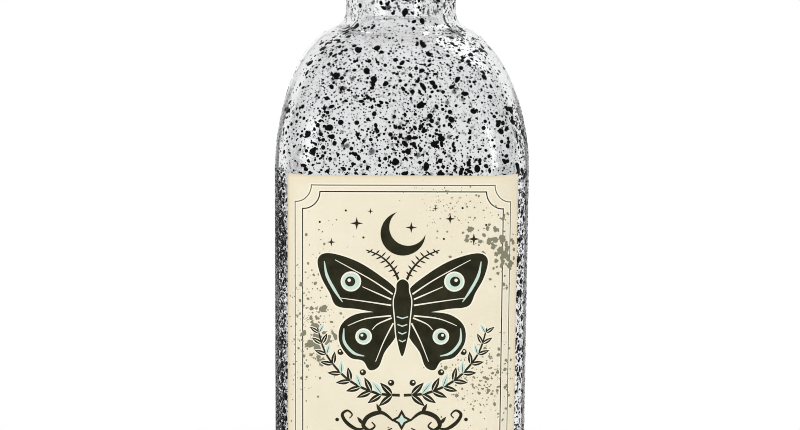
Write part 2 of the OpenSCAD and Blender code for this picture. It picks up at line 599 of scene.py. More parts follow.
@dataclass
class Recipe:
    """A Geometry Nodes tree with named inputs, which turns a base mesh into a finished one."""

    name: str
    inputs: dict[str, str]

    def __post_init__(self) -> None:
        """Makes the tree with its Geometry input and output and the named inputs."""
        self.tree = bpy.data.node_groups.new(self.name, "GeometryNodeTree")
        shape = "NodeSocketGeometry"
        self.tree.interface.new_socket("Geometry", in_out="INPUT", socket_type=shape)
        self.tree.interface.new_socket("Geometry", in_out="OUTPUT", socket_type=shape)
        for name, kind in self.inputs.items():
            self.tree.interface.new_socket(name, in_out="INPUT", socket_type=f"NodeSocket{kind}")
        self.sheet = NodeSheet(self.tree)
        self.given = self.sheet.add("NodeGroupInput")

    def read(self, name: str) -> bpy.types.NodeSocket:
        """Gives the output of a named input."""
        return self.sheet.out(self.given, name)

    def close(self, geometry: object) -> None:
        """Ends the tree: real meshes, smooth shading and the piece's finish.

        Args:
            geometry: What the tree has made.
        """
        real = self.sheet.add("GeometryNodeRealizeInstances", {"Geometry": geometry})
        soft = self.sheet.add("GeometryNodeSetShadeSmooth", {"Geometry": real})
        dressed = self.sheet.add("GeometryNodeSetMaterial",
                                 {"Geometry": soft, "Material": self.read("Finish")})
        self.sheet.add("NodeGroupOutput", {"Geometry": dressed})

    def apply(self, piece: bpy.types.Object, values: dict[str, object]) -> None:
        """Runs the tree on a piece and keeps the result as its plain mesh.

        Args:
            piece: The object whose mesh goes in and comes out.
            values: What each named input gets.
        """
        modifier = piece.modifiers.new(self.name, "NODES")
        modifier.node_group = self.tree
        for item in self.tree.interface.items_tree:
            if item.in_out == "INPUT" and item.name in values:
                modifier[item.identifier] = values[item.name]
        piece.update_tag()
        bpy.context.view_layer.update()
        evaluated = piece.evaluated_get(bpy.context.evaluated_depsgraph_get())
        made = bpy.data.meshes.new_from_object(evaluated)
        made.name = piece.name
        piece.modifiers.clear()
        piece.data = made


# ---- The bottle's form ----


@dataclass(frozen=True)
class Ring:
    """One level of the glass: a rounded square, or a circle where both sizes are equal."""

    half: float
    corner: float
    z: float

    def reach(self, angle: float) -> float:
        """Distance from the axis to the ring's edge.

        Args:
            angle: The direction about the axis, in radians.

        Returns:
            The radius there.
        """
        folded = abs((angle + math.pi / 4) % (math.pi / 2) - math.pi / 4)
        core = self.half - self.corner
        if self.half * math.tan(folded) <= core:
            return self.half / math.cos(folded)
        along = core * (math.cos(folded) + math.sin(folded))
        return along + math.sqrt(max(along * along - 2 * core * core + self.corner ** 2, 0.0))


def round_rings(profile: list[Point]) -> list[Ring]:
    """Turns the points of a half profile, each a radius and a height, into circles."""
    return [Ring(r, r, z) for r, z in profile]


@dataclass(frozen=True)
class BottleForm:
    """The sizes that the glass is blown to, and the rings that follow from them."""

    body_half: float = 38 * MM
    body_height: float = 129.5 * MM
    corner: float = 14.5 * MM
    heel: float = 5 * MM
    wall: float = 3.2 * MM
    base: float = 6 * MM
    inner_heel: float = 6 * MM
    punt_radius: float = 25 * MM
    punt_depth: float = 3.5 * MM
    shoulder_rise: float = 42.8 * MM
    flank: float = 3.5
    crown: float = 1.8
    neck: float = 16.85 * MM
    neck_length: float = 42.5 * MM
    bore: float = 13 * MM
    neck_foot: float = 5 * MM
    bore_foot: float = 6.5 * MM
    foot_turn: float = math.radians(60)
    foot_step: float = 0.15 * MM
    lip_out: float = 3.2 * MM
    lip_height: float = 9.5 * MM
    lip_round: float = 3.8 * MM
    lip_fillet: float = 0.9 * MM
    mouth_round: float = 1.6 * MM
    roundness: float = 0.97
    lacquer_room: float = 0.08 * MM
    heel_steps: int = 8
    wall_steps: int = 20
    inner_wall_steps: int = 40
    shoulder_steps: int = 34
    foot_steps: int = 7
    neck_steps: int = 8
    bore_steps: int = 14
    lip_steps: int = 8
    mouth_steps: int = 6
    fillet_turns: tuple[float, ...] = (0.0, 0.35, 0.7, 1.05)
    recess_shares: tuple[float, ...] = (0.06, 0.25, 0.5, 0.75, 0.92)
    floor_shares: tuple[float, ...] = (0.08, 0.3, 0.55, 0.8)

    @property
    def mouth(self) -> float:
        """Height of the rim."""
        return self.landing(self.neck, self.neck_foot, self.body_half, self.shoulder_rise) + self.neck_length

    @property
    def recess_sphere(self) -> float:
        """Radius of the sphere that the recess under the base is a cap of."""
        return (self.punt_radius ** 2 + self.punt_depth ** 2) / (2 * self.punt_depth)

    def foot_edge(self, radius: float, foot: float) -> float:
        """Radius at which a hollow foot round a straight neck or bore ends."""
        return radius + foot * (1 - math.cos(self.foot_turn))

    def landing(self, radius: float, foot: float, half: float, rise: float) -> float:
        """Height at which a hollow foot round a radius lands on a shoulder."""
        share = (1 - (self.foot_edge(radius, foot) / half) ** self.flank) ** (1 / self.crown)
        return self.body_height + self.foot_step + rise * share

    def shoulder(self, half: float, rise: float, corner: float, top: float) -> list[Ring]:
        """Rings from the walls' end up to the neck's foot.

        Args:
            half: Half width of the walls.
            rise: Height that the curve would reach on the axis.
            corner: Corner radius of the walls.
            top: Half width where the foot of the neck lands.

        Returns:
            The rings, from the bottom up, without the one on which the foot lands.
        """
        start = corner / half
        last = math.acos((top / half) ** (self.flank / 2))
        rings = []
        for step in range(self.shoulder_steps):
            angle = last * step / self.shoulder_steps
            width = half * math.cos(angle) ** (2 / self.flank)
            grown = (half - width) / (half - top)
            height = rise * math.sin(angle) ** (2 / self.crown)
            share = start + (self.roundness - start) * grown
            rings.append(Ring(width, width * share, self.body_height + height))
        return rings

    def foot(self, radius: float, foot: float, seat: float) -> list[Ring]:
        """The hollow curve from a shoulder up into a straight neck or bore.

        Args:
            radius: Radius of the neck or bore.
            foot: Radius of the hollow curve.
            seat: Height at which it lands.

        Returns:
            The round rings, from the bottom up.
        """
        top = seat + foot * math.sin(self.foot_turn)
        turns = [self.foot_turn * (1 - step / self.foot_steps) for step in range(self.foot_steps + 1)]
        return round_rings([(radius + foot * (1 - math.cos(a)), top - foot * math.sin(a)) for a in turns])

    def tube(self, radius: float, low: float, high: float, count: int) -> list[Ring]:
        """Evenly spaced rings up a straight neck or bore, both ends left out."""
        return round_rings([(radius, low + (high - low) * i / count) for i in range(1, count)])

    def walls(self, half: float, corner: float, low: float, count: int) -> list[Ring]:
        """Evenly spaced rings up the straight walls, both ends left out."""
        step = (self.body_height - low) / count
        return [Ring(half, corner, low + step * i) for i in range(1, count)]

    def heel_rings(self, half: float, corner: float, radius: float, floor: float) -> list[Ring]:
        """The rounded edge between a floor and the walls.

        Args:
            half: Half width of the walls.
            corner: Corner radius of the walls.
            radius: Radius of the edge.
            floor: Height of the floor.

        Returns:
            The rings, from the floor up.
        """
        rings = []
        for step in range(self.heel_steps + 1):
            angle = math.pi / 2 * step / self.heel_steps
            inset = radius * (1 - math.sin(angle))
            rings.append(Ring(half - inset, corner - inset, floor + radius * (1 - math.cos(angle))))
        return rings

    def lip(self) -> list[Ring]:
        """The ring at the mouth, from the neck out, over the rim and into the bore.

        Returns:
            The round rings.
        """
        edge, fillet, rim = self.lip_round, self.lip_fillet, self.mouth_round
        core, top, count = self.neck + self.lip_out - edge, self.mouth, self.lip_steps
        low = top - self.lip_height + edge
        start = math.acos((self.neck + fillet - core) / edge)
        foot_z = low - edge * math.sin(start)
        points = [(self.neck + fillet * (1 - math.cos(a)), foot_z - fillet * (1 - math.sin(a)))
                  for a in self.fillet_turns]
        points += [(core + edge * math.cos(a), low - edge * math.sin(a))
                   for a in (start * (1 - i / count) for i in range(count + 1))]
        points += [(core + edge * math.cos(a), top - edge * (1 - math.sin(a)))
                   for a in (math.pi / 2 * i / count for i in range(count + 1))]
        points += [(self.bore + rim - rim * math.sin(a), top - rim * (1 - math.cos(a)))
                   for a in (math.pi / 2 * i / self.mouth_steps for i in range(self.mouth_steps + 1))]
        return round_rings(points)

    def outside(self) -> list[Ring]:
        """The outer skin's rings, from the middle of the base up to the neck's end.

        Returns:
            The rings.
        """
        half, corner, inner = self.body_half, self.corner, self.punt_radius
        sphere = self.recess_sphere
        rings = round_rings([(r, self.punt_depth - sphere + math.sqrt(sphere ** 2 - r * r))
                             for r in (inner * share for share in self.recess_shares)])
        for share in (0.0, 0.5):
            rings.append(Ring(inner + (half - self.heel - inner) * share,
                              inner + (corner - self.heel - inner) * share, 0.0))
        rings += self.heel_rings(half, corner, self.heel, 0.0)
        rings += self.walls(half, corner, self.heel, self.wall_steps)
        rings += self.shoulder(half, self.shoulder_rise, corner, self.foot_edge(self.neck, self.neck_foot))
        rings += self.foot(self.neck, self.neck_foot, self.mouth - self.neck_length)
        return rings + self.tube(self.neck, rings[-1].z, self.mouth - self.lip_height, self.neck_steps)

    def cavity(self) -> list[Ring]:
        """The inner skin's rings, from the bore's top down to the middle of the floor.

        Returns:
            The rings.
        """
        half, corner = self.body_half - self.wall, self.corner - self.wall
        rise = self.shoulder_rise - self.wall
        lift, dome = self.punt_depth - self.recess_sphere, self.recess_sphere + self.base
        edge = math.sqrt(dome ** 2 - (self.base - lift) ** 2)
        rings = round_rings([(r, lift + math.sqrt(dome ** 2 - r * r))
                             for r in (edge * share for share in self.floor_shares)])
        rings.append(Ring(edge, edge, self.base))
        rings += self.heel_rings(half, corner, self.inner_heel, self.base)
        rings += self.walls(half, corner, self.base + self.inner_heel, self.inner_wall_steps)
        rings += self.shoulder(half, rise, corner, self.foot_edge(self.bore, self.bore_foot))
        rings += self.foot(self.bore, self.bore_foot, self.landing(self.bore, self.bore_foot, half, rise))
        rings += self.tube(self.bore, rings[-1].z, self.mouth - self.mouth_round, self.bore_steps)
        return rings[::-1]


@dataclass(frozen=True)
class Thinning:
    """Where less of the spatter lands than on the walls, as shares of theirs and as losses."""

    neck: float = 0.74
    neck_foot: float = 0.42
    foot_lap: float = 1 * MM
    under_label: float = 0.4
    label_foot: float = 24 * MM
    label_room: float = 3 * MM
    crown: float = 17 * MM
    crown_loss: float = 0.44
    flank_from: float = 0.84
    flank_width: float = 0.13
    flank_loss: float = 0.94
    flank_climb: float = 5.0
    # These values thin the drops on the upper corner turns, more on the left: a painted highlight.
    highlight_from: float = 0.68
    highlight_width: float = 0.08
    highlight_foot: float = 7 * MM
    highlight_rise: float = 10 * MM
    highlight_lap: float = 4 * MM
    highlight_fall: float = 8 * MM
    left_highlight_loss: float = 0.5
    right_highlight_loss: float = 0.25

    def share(self, form: BottleForm, point: Vector, ring: Ring) -> float:
        """How much of the spatter lands at a point: less on the crown, hardly any on its flanks, and fewer
        drops on the upper corner turns as a painted highlight.

        Args:
            form: The bottle's sizes.
            point: A place on the outer skin.
            ring: The level on which it lies.

        Returns:
            The share, where 1 is the walls' own.
        """
        walls, neck_foot = form.body_height, form.mouth - form.neck_length
        crown = walls + self.crown
        if point.z > neck_foot + self.foot_lap:
            return self.neck if point.z > neck_foot + form.neck_foot else self.neck_foot
        if point.y < -abs(point.x) and self.label_foot < point.z < walls - self.label_room:
            return self.under_label
        out = abs(point.x) / ring.half
        climb = held((point.z - crown) / (neck_foot - crown))
        flank = held((out - self.flank_from) / self.flank_width)
        left = (1.0 - self.crown_loss * climb) * (
            1.0 - self.flank_loss * flank * min(1.0, climb * self.flank_climb))
        # Painted highlight: fewer drops on the upper corner turns, so the glass looks lighter where the
        # lamps' bright bands fall.
        turn = held((out - self.highlight_from) / self.highlight_width)
        turn *= held((point.z - walls + self.highlight_foot) / self.highlight_rise)
        turn *= held((crown + self.highlight_lap - point.z) / self.highlight_fall)
        return left * (1.0 - turn * (self.left_highlight_loss if point.x < 0.0 else self.right_highlight_loss))


@dataclass
class GlassBottle:
    """The moulded glass: one closed shell whose inside ripples a little."""

    INSIDE = "glass_inside"
    COVERAGE = "spatter_coverage"

    form: BottleForm
    finish: GlassFinish
    thinning: Thinning = Thinning()
    flat_steps: int = 20
    arc_steps: int = 24
    inside_from: float = 6 * MM
    ripple_depth: float = 0.11 * MM
    ripple_scale: float = 95.0
    streak: float = 0.3

    def angles(self) -> list[float]:
        """Directions of the columns, finer round the four corners than on the faces.

        Returns:
            The angles about the axis, in radians.
        """
        bend = math.atan((self.form.body_half - self.form.corner) / self.form.body_half)
        arc = math.pi / 2 - 2 * bend
        quarter = [-bend + 2 * bend * i / self.flat_steps for i in range(self.flat_steps)]
        quarter += [bend + arc * i / self.arc_steps for i in range(self.arc_steps)]
        return [angle + math.pi / 2 * turn for turn in range(4) for angle in quarter]

    def stack(self, rings: list[Ring], drawn_in: int) -> tuple[list, list]:
        """Skins rings in order, each joined to the next.

        Args:
            rings: The levels, in the order in which the skin passes them.
            drawn_in: How many of the first rings lie deeper by the lacquer's room.

        Returns:
            The points and the four-sided faces.
        """
        angles, points, faces = self.angles(), [], []
        count = len(angles)
        for number, ring in enumerate(rings):
            room = self.form.lacquer_room if number < drawn_in else 0.0
            for angle in angles:
                r = ring.reach(angle) - room
                points.append((r * math.cos(angle), r * math.sin(angle), ring.z))
        for level in range(len(rings) - 1):
            for i in range(count):
                j = (i + 1) % count
                low, high = level * count, (level + 1) * count
                faces.append((low + i, low + j, high + j, high + i))
        return points, faces

    def build(self) -> bpy.types.Object:
        """Builds the glass.

        Returns:
            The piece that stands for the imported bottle.
        """
        outside, lip, cavity = self.form.outside(), self.form.lip(), self.form.cavity()
        rings = outside + lip + cavity
        points, faces = self.stack(rings, len(outside) + len(lip) // 2)
        count, last = len(self.angles()), len(rings) - 1
        for ring, order in ((0, -1), (last, 1)):
            pole = len(points)
            points.append((0.0, 0.0, rings[ring].z))
            edge = [ring * count + i for i in range(count)]
            faces += [(pole, *pair[::order]) for pair in zip(edge, edge[1:] + edge[:1])]
        glass = mesh_object("glass_bottle", points, faces, self.finish.build())
        start = (len(outside) + len(lip)) * count
        inside = [0.0 if i < start else min(1.0, (self.form.mouth - p[2]) / self.inside_from)
                  for i, p in enumerate(points)]
        inside[-2] = 0.0  # The middle of the base, which was added after the rings
        carry(glass.data, self.INSIDE, inside)
        self.ripple().apply(glass, {"Depth": self.ripple_depth, "Scale": self.ripple_scale,
                                    "Streak": self.streak, "Finish": glass.data.materials[0]})
        return glass

    def ripple(self) -> Recipe:
        """Writes the tree that lets the inner skin wander in and out as blown glass does.

        Returns:
            The recipe, whose base mesh is the plain glass.
        """
        recipe = Recipe("glass_ripple", {"Depth": "Float", "Scale": "Float", "Streak": "Float",
                                         "Finish": "Material"})
        sheet = recipe.sheet
        place = sheet.add("GeometryNodeInputPosition")
        drawn = sheet.vector("MULTIPLY", place, sheet.add(
            "ShaderNodeCombineXYZ", {"X": 1.0, "Y": 1.0, "Z": recipe.read("Streak")}))
        swell = sheet.add("ShaderNodeTexNoise", {"Vector": drawn, "Scale": recipe.read("Scale"),
                                                 "Detail": 1.5, "Roughness": 0.45})
        signed = sheet.math("SUBTRACT", swell, 0.5)
        size = sheet.math("MULTIPLY", sheet.math("MULTIPLY", signed, sheet.carried(self.INSIDE)),
                          sheet.math("MULTIPLY", recipe.read("Depth"), 2.0))
        offset = sheet.vector("SCALE", sheet.add("GeometryNodeInputNormal"), scale=size)
        recipe.close(sheet.add("GeometryNodeSetPosition", {"Geometry": recipe.read("Geometry"),
                                                           "Offset": offset}))
        return recipe

    def skin(self) -> bpy.types.Object:
        """Builds the outer skin alone, which the spatter lies on and which isn't shown.

        Returns:
            The helper object, whose vertices carry the share of the spatter that lands there.
        """
        outside, lip = self.form.outside(), self.form.lip()
        rings = outside + lip[:len(lip) // 2]
        points, faces = self.stack(rings, len(rings))
        skin = mesh_object("outer_skin", points, faces, None)
        columns = len(self.angles())
        carry(skin.data, self.COVERAGE, [self.thinning.share(self.form, Vector(p), rings[i // columns])
                                         for i, p in enumerate(points)])
        return skin


# ---- The lacquer spatter ----


@dataclass(frozen=True)
class Patch:
    """A stretch of the outer skin whose drops make one piece."""

    name: str
    low: float
    high: float
    middle: float
    spread: float
    density: float
    broad_share: float


@dataclass(frozen=True)
class DropKind:
    """How finely the drops of one range of sizes are modelled."""

    limit: float
    sides: int
    rings: int
    fill: str


@dataclass
class LacquerSpatter:
    """Thousands of dried drops, scattered over the glass and laid on its curve."""

    SIZE = "drop_size"
    LIFT = "drop_lift"

    form: BottleForm
    finish: LacquerFinish
    density: float = 1.12e6
    back_density: float = 0.42e6
    corner_band_density: float = 3.4e6
    broad_share: float = 0.15
    back_broad_share: float = 0.07
    clump_scale: float = 70.0
    fine_size: float = 0.43 * MM
    broad_size: float = 1.06 * MM
    size_spread: float = 0.22
    smallest: float = 0.26 * MM
    largest: float = 2.1 * MM
    kinds: tuple[DropKind, ...] = (DropKind(0.46 * MM, 6, 1, "NGON"),
                                   DropKind(0.85 * MM, 8, 1, "TRIANGLE_FAN"),
                                   DropKind(1.5 * MM, 12, 1, "TRIANGLE_FAN"),
                                   DropKind(9.0 * MM, 16, 2, "TRIANGLE_FAN"))
    thickest: float = 0.066 * MM
    sunk: float = 0.05 * MM
    seed: int = 77
    foot_share: float = 0.6
    level_share: float = 0.48
    neck_rise: float = 2 * MM
    base_share: float = 0.8
    # These values place a dense band of fine drops down the front-left corner.
    corner_band_gap: float = 1 * MM
    corner_band_middle: float = math.radians(-142.6)
    corner_band_spread: float = math.radians(5.4)
    clump_noise: Point = (0.34, 0.66)
    clump_dose: Point = (0.62, 1.38)
    luck: Point = (0.002, 0.998)
    longest: float = 0.4
    crown_radius: float = 0.47
    crown_fall: float = 2.4
    lobe_scale: float = 1.15
    lobe_sizes: Point = (1.2 * MM, 2.4 * MM)
    lobe_shares: Point = (0.18, 0.8)
    rise: float = 0.11

    def patches(self) -> list[Patch]:
        """The stretches: four walls in two levels, the shoulder's halves, the neck and a dense band of fine
        drops down the front-left corner.

        Returns:
            The patches, in the order of their pieces.
        """
        foot, walls = self.form.heel * self.foot_share, self.form.body_height
        middle = walls * self.level_share
        neck = self.form.mouth - self.form.neck_length + self.neck_rise
        quarter = math.pi / 4
        full, thin = (self.density, self.broad_share), (self.back_density, self.back_broad_share)
        made = [Patch(f"spatter_{name}_{level}", low, high, turn * 2 * quarter, quarter, *dose)
                for name, turn, dose in (("front", -1, full), ("right", 0, full), ("back", 1, thin),
                                         ("left", 2, full))
                for level, low, high in (("low", foot, middle), ("high", middle, walls))]
        made += [Patch(f"spatter_shoulder_{name}", walls, neck, turn * 2 * quarter, 2 * quarter, *dose)
                 for name, turn, dose in (("front", -1, full), ("back", 1, thin))]
        made.append(Patch("spatter_neck", neck, self.form.mouth, 0.0, 4 * quarter, *full))
        # A dense band of fine drops down the front-left corner, darker there than the walls.
        made.append(Patch("spatter_mist", foot, walls - self.corner_band_gap, self.corner_band_middle,
                          self.corner_band_spread, self.corner_band_density, 0.0))
        return made

    def drop(self, sheet: NodeSheet, kind: DropKind) -> bpy.types.NodeSocket:
        """Models one drop of unit diameter, which carries its own height profile.

        Args:
            sheet: The tree to write to.
            kind: How finely it is modelled.

        Returns:
            The drop's mesh: -1 at the sunk foot, up to 1 on the crown.
        """
        cone = sheet.add("GeometryNodeMeshCone", {
            "Vertices": kind.sides, "Side Segments": 1, "Fill Segments": kind.rings,
            "Radius Top": self.crown_radius, "Radius Bottom": 0.5, "Depth": 1.0}, fill_type=kind.fill)
        place = sheet.add("ShaderNodeSeparateXYZ", {0: sheet.add("GeometryNodeInputPosition")})
        across = sheet.math("ADD", sheet.math("MULTIPLY", place.outputs[0], place.outputs[0]),
                            sheet.math("MULTIPLY", place.outputs[1], place.outputs[1]))
        dome = sheet.math("SUBTRACT", 1.0, sheet.math("MULTIPLY", across, self.crown_fall))
        on_top = sheet.math("GREATER_THAN", place.outputs[2], 0.5)
        height = sheet.math("SUBTRACT", sheet.math("MULTIPLY", on_top, sheet.math("ADD", dome, 1.0)), 1.0)
        return sheet.keep(sheet.out(cone, "Mesh"), self.LIFT, height)

    def recipe(self) -> Recipe:
        """Writes the tree that scatters, shapes and lays down the drops.

        Returns:
            The recipe, whose base mesh is the patch that the drops fall on.
        """
        recipe = Recipe("lacquer_spatter", {
            "Skin": "Object", "Density": "Float", "Clumps": "Float", "Fine Size": "Float",
            "Broad Size": "Float", "Broad Share": "Float", "Spread": "Float", "Smallest": "Float",
            "Largest": "Float", "Thickest": "Float", "Sunk": "Float", "Seed": "Int",
            "Finish": "Material"})
        standing = self.stand(recipe, self.scatter(recipe))
        recipe.close(self.lay(recipe, standing))
        return recipe

    @staticmethod
    def draw(recipe: Recipe, step: int, low: float = 0.0, high: float = 1.0) -> bpy.types.Node:
        """Draws one random number for each drop."""
        seed = recipe.sheet.math("ADD", recipe.read("Seed"), float(step))
        return recipe.sheet.add("FunctionNodeRandomValue", {"Min": low, "Max": high, "Seed": seed},
                                data_type="FLOAT")

    def scatter(self, recipe: Recipe) -> bpy.types.Node:
        """Strews points over the patch, in clumps and thicker where the skin carries more.

        Args:
            recipe: The recipe to write to.

        Returns:
            The node that gives the points and the skin's direction at each.
        """
        sheet = recipe.sheet
        clump = sheet.add("ShaderNodeTexNoise", {
            "Vector": sheet.add("GeometryNodeInputPosition"), "Scale": recipe.read("Clumps"),
            "Detail": 2.0})
        density = sheet.math(
            "MULTIPLY", sheet.ramp(clump, *self.clump_noise, *self.clump_dose),
            sheet.math("MULTIPLY", recipe.read("Density"), sheet.carried(GlassBottle.COVERAGE)))
        return sheet.add("GeometryNodeDistributePointsOnFaces", {
            "Mesh": recipe.read("Geometry"), "Density": density, "Seed": recipe.read("Seed")},
            distribute_method="RANDOM")

    def size(self, recipe: Recipe) -> bpy.types.NodeSocket:
        """Draws each drop's width: most are fine, some broad, and both kinds vary.

        Args:
            recipe: The recipe to write to.

        Returns:
            The width in metres.
        """
        sheet = recipe.sheet
        luck = self.draw(recipe, 1, *self.luck)
        odds = sheet.math("POWER", sheet.math("DIVIDE", luck, sheet.math("SUBTRACT", 1.0, luck)),
                          recipe.read("Spread"))
        broad = sheet.math("LESS_THAN", self.draw(recipe, 4), recipe.read("Broad Share"))
        middle = sheet.add("ShaderNodeMix", {0: broad, 1: recipe.read("Fine Size"),
                                             2: recipe.read("Broad Size")}, data_type="FLOAT")
        return sheet.math("MINIMUM", sheet.math("MAXIMUM", sheet.math(
            "MULTIPLY", odds, middle), recipe.read("Smallest")), recipe.read("Largest"))

    def stand(self, recipe: Recipe, points: bpy.types.Node) -> bpy.types.Node:
        """Stands a drop on each point, a little longer than it is broad and turned by chance.

        Args:
            recipe: The recipe to write to.
            points: The node that scatters them.

        Returns:
            The drops as real meshes, whose points carry the drop's size.
        """
        sheet = recipe.sheet
        sized = sheet.keep(sheet.out(points, "Points"), self.SIZE, self.size(recipe))
        known = sheet.carried(self.SIZE)
        chance = sheet.math("POWER", self.draw(recipe, 2), 3.0)
        stretch = sheet.math("ADD", 1.0, sheet.math("MULTIPLY", chance, self.longest))
        scale = sheet.add("ShaderNodeCombineXYZ", {
            "X": sheet.math("MULTIPLY", known, stretch), "Y": sheet.math("DIVIDE", known, stretch),
            "Z": known})
        spin = sheet.add("FunctionNodeAxisAngleToRotation", {
            "Axis": (0, 0, 1), "Angle": self.draw(recipe, 3, 0.0, 2 * math.pi)})
        facing = sheet.add("FunctionNodeRotateRotation", {
            "Rotation": sheet.out(points, "Rotation"), "Rotate By": spin}, rotation_space="LOCAL")
        joined = sheet.add("GeometryNodeJoinGeometry")
        over = 0.0
        for kind in self.kinds:
            fits = sheet.math("COMPARE", known, (over + kind.limit) / 2, (kind.limit - over) / 2)
            drops = sheet.add("GeometryNodeInstanceOnPoints", {
                "Points": sized, "Selection": fits, "Instance": self.drop(sheet, kind),
                "Rotation": facing, "Scale": scale})
            sheet.feed(joined, "Geometry", drops)
            over = kind.limit
        return sheet.add("GeometryNodeRealizeInstances", {"Geometry": joined})

    def lay(self, recipe: Recipe, drops: bpy.types.Node) -> bpy.types.Node:
        """Lets the drops run out into lobes and lays them on the glass, domed and with a sunk foot.

        Args:
            recipe: The recipe to write to.
            drops: The standing drops.

        Returns:
            The drops on the skin's curve.
        """
        sheet = recipe.sheet
        place, known = sheet.add("GeometryNodeInputPosition"), sheet.carried(self.SIZE)
        relative = sheet.vector("SCALE", place, scale=sheet.math("DIVIDE", self.lobe_scale, known))
        wander = sheet.add("ShaderNodeTexNoise", {"Vector": relative, "Scale": 1.0, "Detail": 2.0,
                                                  "Roughness": 0.55})
        pull = sheet.vector("SUBTRACT", sheet.out(wander, "Color"), (0.5, 0.5, 0.5))
        lobes = sheet.math("MULTIPLY", known, sheet.ramp(known, *self.lobe_sizes, *self.lobe_shares))
        warped = sheet.vector("ADD", place, sheet.vector("SCALE", pull, scale=lobes))
        skin = sheet.out(sheet.add("GeometryNodeObjectInfo", {"Object": recipe.read("Skin")}), "Geometry")
        nearest = sheet.add("GeometryNodeProximity", {0: skin, "Sample Position": warped},
                            target_element="FACES")
        normal = sheet.add("GeometryNodeSampleNearestSurface", {
            "Mesh": skin, "Value": sheet.add("GeometryNodeInputNormal"),
            "Sample Position": warped}, data_type="FLOAT_VECTOR")
        lift = sheet.carried(self.LIFT)
        crown = sheet.math("MINIMUM", sheet.math("MULTIPLY", known, self.rise), recipe.read("Thickest"))
        depth = sheet.math("SUBTRACT",
                           sheet.math("MULTIPLY", sheet.math("MAXIMUM", lift, 0.0), crown),
                           sheet.math("MULTIPLY", sheet.math("LESS_THAN", lift, 0.0), recipe.read("Sunk")))
        laid = sheet.vector("ADD", nearest, sheet.vector("SCALE", normal, scale=depth))
        return sheet.add("GeometryNodeSetPosition", {"Geometry": drops, "Position": laid})

    def build(self, skin: bpy.types.Object) -> list[bpy.types.Object]:
        """Scatters every patch.

        Args:
            skin: The outer skin of the glass.

        Returns:
            One piece for each patch.
        """
        recipe, material = self.recipe(), self.finish.build()
        points = [v.co.copy() for v in skin.data.vertices]
        share = [value.value for value in skin.data.attributes[GlassBottle.COVERAGE].data]
        pieces = []
        for number, patch in enumerate(self.patches()):
            faces = []
            for polygon in skin.data.polygons:
                centre = polygon.center
                turn = math.atan2(centre.y, centre.x) - patch.middle
                turn = (turn + math.pi) % (2 * math.pi) - math.pi
                at_side = centre.xy.length > self.base_share * self.form.neck
                at_height = patch.low <= centre.z < patch.high
                if at_side and at_height and -patch.spread <= turn < patch.spread:
                    faces.append(tuple(polygon.vertices))
            used = sorted({i for face in faces for i in face})
            index = {old: new for new, old in enumerate(used)}
            piece = mesh_object(patch.name, [points[i] for i in used],
                                [tuple(index[i] for i in face) for face in faces], material)
            carry(piece.data, GlassBottle.COVERAGE, [share[i] for i in used])
            recipe.apply(piece, {
                "Skin": skin, "Density": patch.density, "Clumps": self.clump_scale,
                "Fine Size": self.fine_size, "Broad Size": self.broad_size,
                "Broad Share": patch.broad_share, "Spread": self.size_spread,
                "Smallest": self.smallest, "Largest": self.largest, "Thickest": self.thickest,
                "Sunk": self.sunk, "Seed": self.seed + 10 * number, "Finish": material})
            pieces.append(piece)
        return pieces


# ---- The label ----


@dataclass(frozen=True)
class Shape:
    """One closed outline of the print, in millimetres across from the middle and down from the top."""

    outline: tuple[Point, ...]
    ink: Ink


Stroke = tuple[list[Point], Ink]


